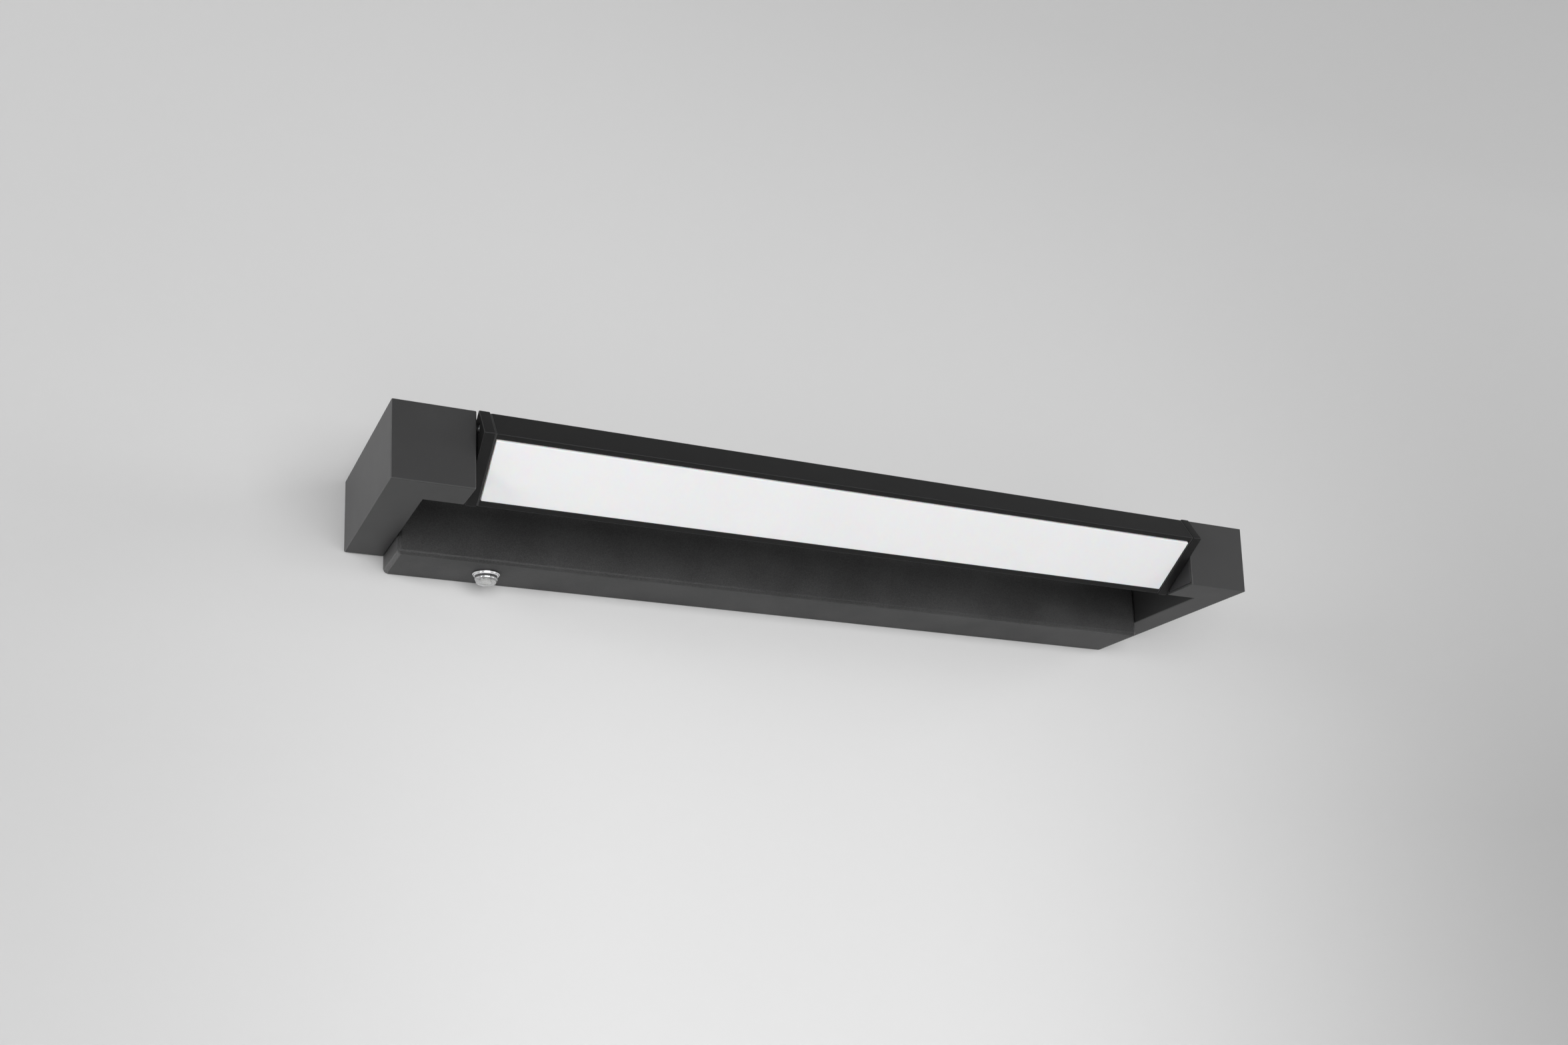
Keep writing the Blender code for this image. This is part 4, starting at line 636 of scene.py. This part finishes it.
def dress_solids():
    """Give each solid its material, and shading that is smooth but for its edges."""
    for entry in RECORD["subparts"]:
        obj = NODES[entry["node"]]
        mesh = obj.data
        mesh.materials.clear()
        mesh.materials.append(LOOKS[entry["material_slot"]].material)
        if "custom_normal" in mesh.attributes:
            mesh.attributes.remove(mesh.attributes["custom_normal"])
        mesh.shade_smooth()
        weld = obj.modifiers.new("weld", "WELD")
        weld.merge_threshold = WELD_REACH
        split = obj.modifiers.new("edges", "EDGE_SPLIT")
        split.split_angle = NODE_SHARP
        normals = obj.modifiers.new("normals", "WEIGHTED_NORMAL")
        normals.weight = NORMAL_WEIGHT


# Mesh helpers


def add_piece(name, bm, slot, body, sharp, look=None):
    """Make a piece of a mesh, on a body, with the material of its slot or its own."""
    mesh = bpy.data.meshes.new(name)
    bmesh.ops.recalc_face_normals(bm, faces=bm.faces)
    bm.to_mesh(mesh)
    bm.free()
    mesh.materials.append((look or LOOKS[slot]).material)
    mesh.shade_smooth()
    mesh.set_sharp_from_angle(angle=sharp)
    obj = bpy.data.objects.new(name, mesh)
    bpy.context.scene.collection.objects.link(obj)
    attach(obj, body)
    return obj


def facing(place, along):
    """A frame at place whose Z runs along a direction."""
    return Matrix.Translation(Vector(place)) @ Vector(along).to_track_quat("Z", "Y").to_matrix().to_4x4()


def lathe(profile, sides, matrix, closed=False):
    """Revolve (radius, height) points. A point on the axis makes one vertex."""
    bm = bmesh.new()
    rings = []
    for radius, height in profile:
        count = sides if radius > AXIS_RADIUS else 1
        turns = [math.tau * k / count for k in range(count)]
        points = [Vector((radius * math.cos(a), radius * math.sin(a), height)) for a in turns]
        rings.append([bm.verts.new(matrix @ point) for point in points])
    pairs = list(zip(rings, rings[1:]))
    if closed:
        pairs.append((rings[-1], rings[0]))
    for low, high in pairs:
        for k in range(sides):
            j = (k + 1) % sides
            corners = [low[k % len(low)], low[j % len(low)], high[j % len(high)], high[k % len(high)]]
            unlike = list(dict.fromkeys(corners))
            if len(unlike) > 2:
                bm.faces.new(unlike)
    return bm


def soft_corners(points, radius, closed=False):
    """Round the corners of a profile, each by at most a third of its sides."""
    made = []
    last = len(points) - 1
    for i, point in enumerate(points):
        here = Vector(point)
        if not closed and i in (0, last):
            made.append(tuple(here))
            continue
        back = Vector(points[i - 1]) - here
        ahead = Vector(points[(i + 1) % len(points)]) - here
        reach = min(radius, back.length / 3, ahead.length / 3)
        start = here + back.normalized() * reach
        end = here + ahead.normalized() * reach
        for k in range(CORNER_STEPS + 1):
            t = k / CORNER_STEPS
            made.append(tuple(start * (1 - t) ** 2 + here * 2 * t * (1 - t) + end * t * t))
    return made


def add_loop(bm, matrix, points):
    return [bm.verts.new(matrix @ Vector(point)) for point in points]


def band(bm, low, high):
    """A ring of faces between two loops of vertices of one length."""
    count = len(low)
    for k in range(count):
        j = (k + 1) % count
        bm.faces.new((low[k], low[j], high[j], high[k]))


def skin(bm, loops):
    """Bridge loops of vertices of one length, and close both ends."""
    for low, high in zip(loops, loops[1:]):
        band(bm, low, high)
    bm.faces.new(list(reversed(loops[0])))
    bm.faces.new(loops[-1])


def prism(outline, low, high, matrix, taper_share=1.0):
    """A closed prism along Z, whose lower end is a share of its upper one."""
    bm = bmesh.new()
    bottom = add_loop(bm, matrix, [(x * taper_share, y * taper_share, low) for x, y in outline])
    top = add_loop(bm, matrix, [(x, y, high) for x, y in outline])
    skin(bm, [bottom, top])
    bmesh.ops.recalc_face_normals(bm, faces=bm.faces)
    return bm


def round_box(half_x, half_y, corner, steps=BOX_CORNER_STEPS):
    """Outline of a rectangle with round corners."""
    points = []
    for k in range(4):
        turn = math.pi / 2 * k
        sign_x = 1 if k in (0, 3) else -1
        sign_y = 1 if k in (0, 1) else -1
        for s in range(steps + 1):
            a = turn + math.pi / 2 * s / steps
            x = sign_x * (half_x - corner) + corner * math.cos(a)
            y = sign_y * (half_y - corner) + corner * math.sin(a)
            points.append((x, y))
    return points


def cross(reach, half):
    """Outline of a cross with four arms."""
    points = []
    for k in range(4):
        turn = Matrix.Rotation(math.pi / 2 * k, 2)
        points += [tuple(turn @ Vector(point)) for point in ((half, half), (half, reach), (-half, reach))]
    return points


def carve(obj, tool_bm):
    """Cut a closed shape out of a piece for good."""
    mesh = bpy.data.meshes.new("tool")
    tool_bm.to_mesh(mesh)
    tool_bm.free()
    tool = bpy.data.objects.new("tool", mesh)
    bpy.context.scene.collection.objects.link(tool)
    step = obj.modifiers.new("cut", "BOOLEAN")
    step.operation = "DIFFERENCE"
    step.solver = "EXACT"
    step.object = tool
    made = bpy.data.meshes.new_from_object(obj.evaluated_get(bpy.context.evaluated_depsgraph_get()))
    obj.modifiers.remove(step)
    plain = obj.data
    obj.data = made
    bpy.data.meshes.remove(plain)
    bpy.data.objects.remove(tool)
    bpy.data.meshes.remove(mesh)
    made.shade_smooth()
    made.set_sharp_from_angle(angle=CARVED_SHARP)


# Screws


def screw(node, body, along, head, shank, shares=ROUND_SHARES):
    """A screw with a cross recess and a thread, in the place of the plain solid."""
    low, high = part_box(node)
    along = Vector(along)
    axis = max(range(3), key=lambda k: abs(along[k]))
    across = (axis + 1) % 3
    radius = (high[across] - low[across]) / 2
    length = high[axis] - low[axis]
    place = (low + high) / 2
    place[axis] = high[axis] if along[axis] > 0 else low[axis]
    where = facing(place, along)
    profile = [(radius * out, -head * down) for out, down in shares] + [(shank, -head)]
    turns = int((length - head - THREAD_END_SHARE * THREAD_PITCH) / THREAD_PITCH)
    start = -head - THREAD_PITCH / 2
    for k in range(turns):
        profile.append((shank * CREST_SHARE, start - k * THREAD_PITCH))
        profile.append((shank * ROOT_SHARE, start - (k + HALF_SHARE) * THREAD_PITCH))
    profile.append((shank * ROOT_SHARE, start - turns * THREAD_PITCH))
    profile += [(shank * TIP_SHARE, -length), (0, -length)]
    made = add_piece(node + "_detail", lathe(profile, SCREW_SIDES, where), "steel", body, SCREW_SHARP)
    reach = radius * RECESS_REACH_SHARE
    outline = cross(reach, reach * RECESS_WIDTH_SHARE)
    floor, rise = -head * RECESS_DEPTH_SHARE, head * RECESS_RISE_SHARE
    carve(made, prism(outline, floor, rise, where, RECESS_TAPER_SHARE))
    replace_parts(made, node)


def all_screws():
    for side, word in ((-1, "left"), (1, "right")):
        for end in ("front", "rear"):
            screw(f"{word}_cap_screw_{end}", "head", (side, 0, 0), CAP_SCREW_HEAD, CAP_SCREW_SHANK)
        screw(word + "_plug_screw", "base", (0, 1, 0), PLUG_SCREW_HEAD, PLUG_SCREW_SHANK, FLAT_SHARES)
        screw(word + "_canopy_screw", "base", (0, 0, 1), CANOPY_SCREW_HEAD, CANOPY_SCREW_SHANK, FLAT_SHARES)
        screw(word + "_driver_screw", "base", (0, -1, 0), PAN_SCREW_HEAD, PAN_SCREW_SHANK)
    for node in ("terminal_screw", "earth_screw"):
        screw(node, "base", (0, -1, 0), PAN_SCREW_HEAD, PAN_SCREW_SHANK)


# Switch


def stack(node):
    """A frame at the middle of an upright node's top, with its radius and height."""
    low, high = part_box(node)
    place = Vector(((low.x + high.x) / 2, (low.y + high.y) / 2, high.z))
    return Matrix.Translation(place), (high.x - low.x) / 2, high.z - low.z


def stepped(radius, height, insets, shares):
    """A profile that steps inwards from a radius, and down by shares of a height."""
    return [(radius - inset, -height * share) for inset, share in zip(insets, shares)]


def switch_flange():
    """Chrome washer with two stepped rims, seen from below."""
    where, radius, height = stack("switch_flange")
    steps = stepped(radius, height, FLANGE_INSETS, FLANGE_FALL_SHARES)
    steps = [(FLANGE_BORE, 0)] + steps + [(FLANGE_BORE, -height * FLANGE_FALL_SHARES[-1])]
    bm = lathe(soft_corners(steps, FLANGE_ROUNDING, closed=True), CHROME_SIDES, where, closed=True)
    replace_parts(add_piece("switch_flange_detail", bm, "chrome", "base", TURNED_SHARP), "switch_flange")


def switch_ring():
    """Chrome nut that holds the boot, with a shallow groove round it."""
    where, radius, height = stack("switch_boot_ring")
    steps = stepped(radius, height, RING_INSETS, RING_FALL_SHARES)
    bm = lathe(soft_corners(steps, RING_ROUNDING, closed=True), CHROME_SIDES, where, closed=True)
    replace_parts(add_piece("switch_ring_detail", bm, "chrome", "base", TURNED_SHARP), "switch_boot_ring")


def fold_with_button(piece):
    """Give a piece a mesh of its own."""
    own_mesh(piece)


def switch_boot():
    """Clear rubber bowl over the button: its neck stays in the ring."""
    where, radius, height = stack("switch_boot")
    ring_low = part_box("switch_boot_ring")[0].z
    top = ring_low - where.translation.z - BOOT_RING_GAP
    grip, neck = radius - BOOT_GRIP_INSET, radius - BOOT_NECK_INSET
    bore = neck - BOOT_WALL
    steps = [(grip, 0), (grip, -BOOT_GRIP_HEIGHT), (neck, -BOOT_GRIP_HEIGHT)]
    steps += [(neck, top), (bore, top), (bore, 0)]
    bm = lathe(soft_corners(steps, BOOT_NECK_ROUNDING, closed=True), BOOT_SIDES, where, closed=True)
    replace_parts(add_piece("switch_boot_neck", bm, "clear_rubber", "base", RUBBER_SHARP), "switch_boot")

    drop = -height - top
    shares = BOWL_RIM_SHARES + BOWL_SIDE_SHARES + BOWL_FLOOR_SHARES
    outer = [(radius * out, top + drop * fall) for out, fall in shares]
    inner = [(0, top + BOWL_FLOOR_SHARES[-1][1] * drop + BOOT_WALL)]
    for out, fall in reversed(BOWL_SIDE_SHARES):
        inner.append((radius * out - BOOT_WALL * BOWL_SIDE_WALL_SHARE, top + (drop + BOOT_WALL) * fall))
    inner.append((radius - BOOT_WALL * BOWL_SHOULDER_WALL_SHARE, top + BOWL_SHOULDER_SHARE * drop))
    inner.append((bore, top))
    bm = lathe(soft_corners(outer + inner, BOWL_ROUNDING), BOOT_SIDES, where, closed=True)
    made = add_piece("switch_boot_bowl", bm, "clear_rubber", "base", RUBBER_SHARP)
    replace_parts(made, "switch_boot")
    fold_with_button(made)


def switch_button():
    """White plunger with a fine groove near its tip."""
    where, radius, height = stack("switch_button")
    steps = [(0, 0), (BUTTON_GUIDE_RADIUS, 0), (BUTTON_GUIDE_RADIUS, -BUTTON_GUIDE_LENGTH)]
    steps += [(radius, -BUTTON_GUIDE_LENGTH), (radius, -BUTTON_COLLAR_END)]
    steps.append((BUTTON_TIP_RADIUS, -BUTTON_COLLAR_END))
    for inset, rise in zip(BUTTON_TIP_INSETS, BUTTON_TIP_RISES):
        steps.append((BUTTON_TIP_RADIUS - inset, rise - height))
    steps.append((0, BUTTON_DISH_RISE - height))
    bm = lathe(soft_corners(steps, BUTTON_ROUNDING), BUTTON_SIDES, where)
    made = add_piece("switch_button_detail", bm, "white_plastic", "button", TURNED_SHARP)
    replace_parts(made, "switch_button")


def switch_spring():
    """A coil whose end turns lie closed, in the room of the plain solid."""
    where, reach, height = stack("switch_spring")
    wire, turns = SPRING_WIRE, SPRING_TURNS
    radius = reach - wire
    pitch = SPRING_END_SHARE * wire
    rise = height - 2 * wire - 2 * pitch
    bm = bmesh.new()
    loops = []
    for k in range(turns * SPRING_TURN_STEPS + 1):
        done = k / SPRING_TURN_STEPS
        angle = math.tau * done
        climb = min(done, 1) * pitch + min(max(done - 1, 0), turns - 2) / (turns - 2) * rise
        climb += max(done - turns + 1, 0) * pitch
        out = Vector((math.cos(angle), math.sin(angle), 0))
        centre = radius * out + Vector((0, 0, wire - height + climb))
        around_wire = [math.tau * s / SPRING_WIRE_SIDES for s in range(SPRING_WIRE_SIDES)]
        points = [centre + wire * (out * math.cos(a) + Vector((0, 0, math.sin(a)))) for a in around_wire]
        loops.append(add_loop(bm, where, points))
    skin(bm, loops)
    made = add_piece("switch_spring_detail", bm, "steel", "base", TURNED_SHARP)
    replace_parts(made, "switch_spring")
    fold_with_button(made)


# Head


def head_box(node):
    """(lowest corner, highest corner) of a node in the head's own axes."""
    back = HEAD.inverted()
    points = [back @ vertex.co for vertex in NODES[node].data.vertices]
    low = Vector([min(point[k] for point in points) for k in range(3)])
    high = Vector([max(point[k] for point in points) for k in range(3)])
    return low, high


def diffuser():
    """Opal strip with soft edges, on its wider flange behind the channel's lips."""
    low, high = head_box("diffuser")
    start, end = low.x + WINDOW_LEFT_GAP, high.x - WINDOW_RIGHT_GAP
    middle_x, half_x = (start + end) / 2, (end - start) / 2
    shoulder = high.z - FLANGE_DEPTH
    face_low, face_high = low.y + LIP, high.y - LIP - WINDOW_LOW_GAP
    middle_y, half_y = (face_low + face_high) / 2, (face_high - face_low) / 2
    layers = [(half_x, high.y, 0, high.z), (half_x, high.y, 0, shoulder)]
    layers.append((half_x, half_y, middle_y, shoulder))
    for k in range(WINDOW_EDGE_STEPS + 1):
        a = math.pi / 2 * k / WINDOW_EDGE_STEPS
        inset = WINDOW_EDGE * (1 - math.cos(a))
        z = low.z + WINDOW_EDGE * (1 - math.sin(a))
        layers.append((half_x - inset, half_y - inset, middle_y, z))
    bm = bmesh.new()
    loops = []
    for reach_x, reach_y, shift, z in layers:
        outline = round_box(reach_x, reach_y, WINDOW_CORNER)
        loops.append(add_loop(bm, HEAD, [(middle_x + x, shift + y, z) for x, y in outline]))
    skin(bm, loops)
    made = add_piece("diffuser_detail", bm, "opal", "head", STRIP_SHARP)
    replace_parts(made, "diffuser")


def cap_seal(word):
    """The rubber seal between an end cap and the channel, flush with the channel's outside."""
    low, high = head_box(word + "_cap_gasket")
    middle_x = (low.x + high.x) / 2
    reach = (high.x - low.x) / 2 + SEAL_REACH
    flat = SEAL_FLAT_SHARE * reach
    half_y, half_z = high.y + SEAL_RISE, high.z + SEAL_RISE
    layers = [(-reach, SEAL_SINK, SEAL_SINK), (-flat, 0, 0), (flat, 0, 0), (reach, SEAL_SINK, SEAL_SINK)]
    layers += [(x, SEAL_BAND_Y, SEAL_BAND_Z) for x in (reach, -reach)]
    bm = bmesh.new()
    loops = []
    for x, inset_y, inset_z in layers:
        outline = round_box(half_y - inset_y, half_z - inset_z, SEAL_CORNER, CORNER_STEPS)
        loops.append(add_loop(bm, HEAD, [(middle_x + x, y, z) for y, z in outline]))
    for outer, inner in zip(loops, loops[1:] + loops[:1]):
        band(bm, outer, inner)
    made = add_piece(word + "_cap_seal", bm, "rubber", "head", TURNED_SHARP)
    hole = round_box(SEAL_HOLE, SEAL_HOLE, SEAL_HOLE * SEAL_HOLE_CORNER_SHARE)
    for end in ("front", "rear"):
        shank_low, shank_high = head_box(f"{word}_cap_screw_{end}")
        middle = (shank_low + shank_high) / 2
        where = HEAD @ facing((middle_x, middle.y, middle.z), (1, 0, 0))
        carve(made, prism(hole, -SEAL_HOLE_REACH, SEAL_HOLE_REACH, where))
    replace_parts(made, word + "_cap_gasket")


def led_windows():
    """The phosphor window of each LED, a little proud of its white package."""
    low, high = head_box("led_board")
    first = high.x - LED_END_ROOM
    half_length, half_width = LED_WINDOW_LENGTH / 2, LED_WINDOW_WIDTH / 2
    layers = ((1.0, low.z + LED_DOME / 2), (1.0, low.z - LED_DOME / 2), (LED_DOME_SHARE, low.z - LED_DOME))
    bm = bmesh.new()
    for k in range(LED_COUNT):
        x = first - 2 * first * k / (LED_COUNT - 1)
        loops = []
        for share, z in layers:
            outline = round_box(half_length * share, half_width * share, LED_WINDOW_CORNER, CORNER_STEPS)
            loops.append(add_loop(bm, HEAD, [(x + u, v, z) for u, v in outline]))
        skin(bm, loops)
    add_piece("led_windows", bm, "board_white", "head", STRIP_SHARP, PHOSPHOR)


# Terminal block


def terminal_clamps():
    """Slotted brass screws in the wells of the terminal block."""
    low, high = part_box("terminal_block")
    middle = (low + high) / 2
    profile = [(0, 0), (CLAMP_RADIUS - CLAMP_EDGE, 0), (CLAMP_RADIUS, -CLAMP_EDGE)]
    profile += [(CLAMP_RADIUS, CLAMP_EDGE - CLAMP_HEAD), (CLAMP_SHANK, -CLAMP_HEAD)]
    profile += [(CLAMP_SHANK, -CLAMP_LENGTH), (0, -CLAMP_LENGTH)]
    corners = ((-1, -1), (1, -1), (1, 1), (-1, 1))
    slit = [(side * SLIT_HALF_LENGTH, rim * SLIT_HALF_WIDTH) for side, rim in corners]
    for k in range(POLE_COUNT):
        for level, rise in (("lower", -CLAMP_SPREAD / 2), ("upper", CLAMP_SPREAD / 2)):
            x = middle.x + (k - (POLE_COUNT - 1) / 2) * POLE_PITCH
            where = facing((x, low.y + CLAMP_SINK, middle.z + rise), (0, -1, 0))
            name = f"terminal_clamp_{k + 1}_{level}"
            made = add_piece(name, lathe(profile, CLAMP_SIDES, where), "steel", "base", SCREW_SHARP, BRASS)
            carve(made, prism(slit, -SLIT_DEPTH, SLIT_OVERRUN, where))


# Room and light


def room_paint(name, greys, side_shade_shares, glow=0):
    """Pale matt paint with painted shade, darker upwards and to both sides, seen from its front only."""
    look = Look(name).set(Specular_IOR_Level=ROOM_SPECULAR, Emission_Color=WHITE)
    axes = look.node("SeparateXYZ")
    look.link(look.place, axes.inputs[0])
    # painted shade: the grey falls from its lower to its upper value
    upwards = look.spread(axes.outputs["Z"], 0, 1, GREY_HEIGHTS)
    base = look.blend(upwards, [(grey,) * 3 for grey in greys], WHOLE_SHARES)
    # painted shade: darker to the left and right, fading out upwards
    shade = look.node("ValToRGB")
    ramp = shade.color_ramp
    ramp.interpolation = "EASE"
    for element, share in zip(ramp.elements, side_shade_shares):
        element.color = (share, share, share, 1)
    for position in SIDE_FLAT_SHARES:
        ramp.elements.new(position).color = WHITE
    look.link(look.spread(axes.outputs["X"], 0, 1, SIDE_PLACES), shade.inputs[0])
    both = look.node("Mix", data_type="RGBA", blend_type="MULTIPLY")
    look.link(look.spread(axes.outputs["Z"], *SIDE_FADE_SHARES, SIDE_FADE_HEIGHTS), both.inputs["Factor"])
    look.link(base, both.inputs["A"])
    look.link(shade.outputs[0], both.inputs["B"])
    look.link(both.outputs["Result"], look.shader.inputs["Base Color"])
    look.gloss(look.noise(ROOM_CLOUD, SMOOTH_DETAIL), *ROOM_GLOSS)
    look.bump((look.noise(ROOM_GRAIN), ROOM_RELIEF))
    path = look.node("LightPath")
    look.link(look.spread(look.seen(path), 0, glow, WHOLE_SHARES), look.shader.inputs["Emission Strength"])
    behind = look.node("NewGeometry").outputs["Backfacing"]
    unseen = look.larger(behind, path.outputs["Is Shadow Ray"])
    look.pick(unseen, look.shader, look.node("BsdfTransparent"), look.out)
    return look


def sheet(name, corners, look):
    mesh = bpy.data.meshes.new(name)
    mesh.from_pydata(corners, [], [tuple(range(len(corners)))])
    mesh.materials.append(look.material)
    obj = bpy.data.objects.new(name, mesh)
    bpy.context.scene.collection.objects.link(obj)


def build_room():
    side, depth, drop, top = ROOM_HALF, ROOM_DEPTH, -FLOOR_DROP, ROOM_TOP
    wall = [(-side, WALL_GAP, drop), (side, WALL_GAP, drop), (side, WALL_GAP, top), (-side, WALL_GAP, top)]
    floor = [(-side, WALL_GAP, drop), (-side, -depth, drop), (side, -depth, drop), (side, WALL_GAP, drop)]
    sheet("stage_wall", wall, room_paint("wall_paint", WALL_GREYS, WALL_SIDE_SHADE_SHARES))
    sheet("stage_floor", floor, room_paint("floor_paint", FLOOR_GREYS, FLOOR_SIDE_SHADE_SHARES, FLOOR_GLOW))


def build_world():
    """Soft light that is weaker from above, with a pale grey where the camera looks past the room."""
    world = bpy.data.worlds.new("studio")
    bpy.context.scene.world = world
    world.use_nodes = True
    tree = Tree(world.node_tree)
    axes = tree.node("SeparateXYZ")
    tree.link(tree.node("TexCoord").outputs["Generated"], axes.inputs[0])
    light, backdrop = tree.node("Background"), tree.node("Background")
    light.inputs["Color"].default_value = WHITE
    tree.link(tree.spread(axes.outputs["Z"], *SKY_STRENGTHS, SKY_HEIGHTS), light.inputs["Strength"])
    backdrop.inputs["Color"].default_value = (*BACKDROP_GREY, 1)
    tree.pick(tree.seen(tree.node("LightPath")), light, backdrop, tree.node("OutputWorld"))


def build_lamps():
    for name, (place, size, power) in LAMPS.items():
        lamp = bpy.data.lights.new(name, "AREA")
        lamp.shape = "RECTANGLE"
        lamp.size, lamp.size_y = size
        lamp.energy = power
        obj = bpy.data.objects.new(name, lamp)
        obj.location = place
        obj.rotation_euler = (Vector(AIM) - Vector(place)).to_track_quat("-Z", "Y").to_euler()
        bpy.context.scene.collection.objects.link(obj)


def build_camera():
    yaw, pitch, roll = CAMERA_YAW, CAMERA_PITCH, CAMERA_ROLL
    ahead = Vector((math.sin(yaw) * math.cos(pitch), math.cos(yaw) * math.cos(pitch), math.sin(pitch)))
    right = Vector((math.cos(yaw), -math.sin(yaw), 0))
    up = right.cross(ahead)
    image_right = right * math.cos(roll) + up * math.sin(roll)
    image_up = up * math.cos(roll) - right * math.sin(roll)
    lens = bpy.data.cameras.new("camera")
    lens.sensor_width = SENSOR_WIDTH
    lens.lens = CAMERA_LENS
    lens.shift_y = CAMERA_RISE / IMAGE_WIDTH
    lens.clip_start = CLIP_START
    lens.clip_end = CLIP_END
    obj = bpy.data.objects.new("camera", lens)
    turn = Matrix((image_right, image_up, -ahead)).transposed().to_4x4()
    obj.matrix_world = Matrix.Translation(CAMERA_PLACE) @ turn
    bpy.context.scene.collection.objects.link(obj)
    bpy.context.scene.camera = obj


dress_solids()
all_screws()
switch_flange()
switch_ring()
switch_boot()
switch_button()
switch_spring()
diffuser()
cap_seal("left")
cap_seal("right")
led_windows()
terminal_clamps()
build_room()
build_world()
build_lamps()
build_camera()
bpy.context.scene.view_settings.view_transform = "Standard"
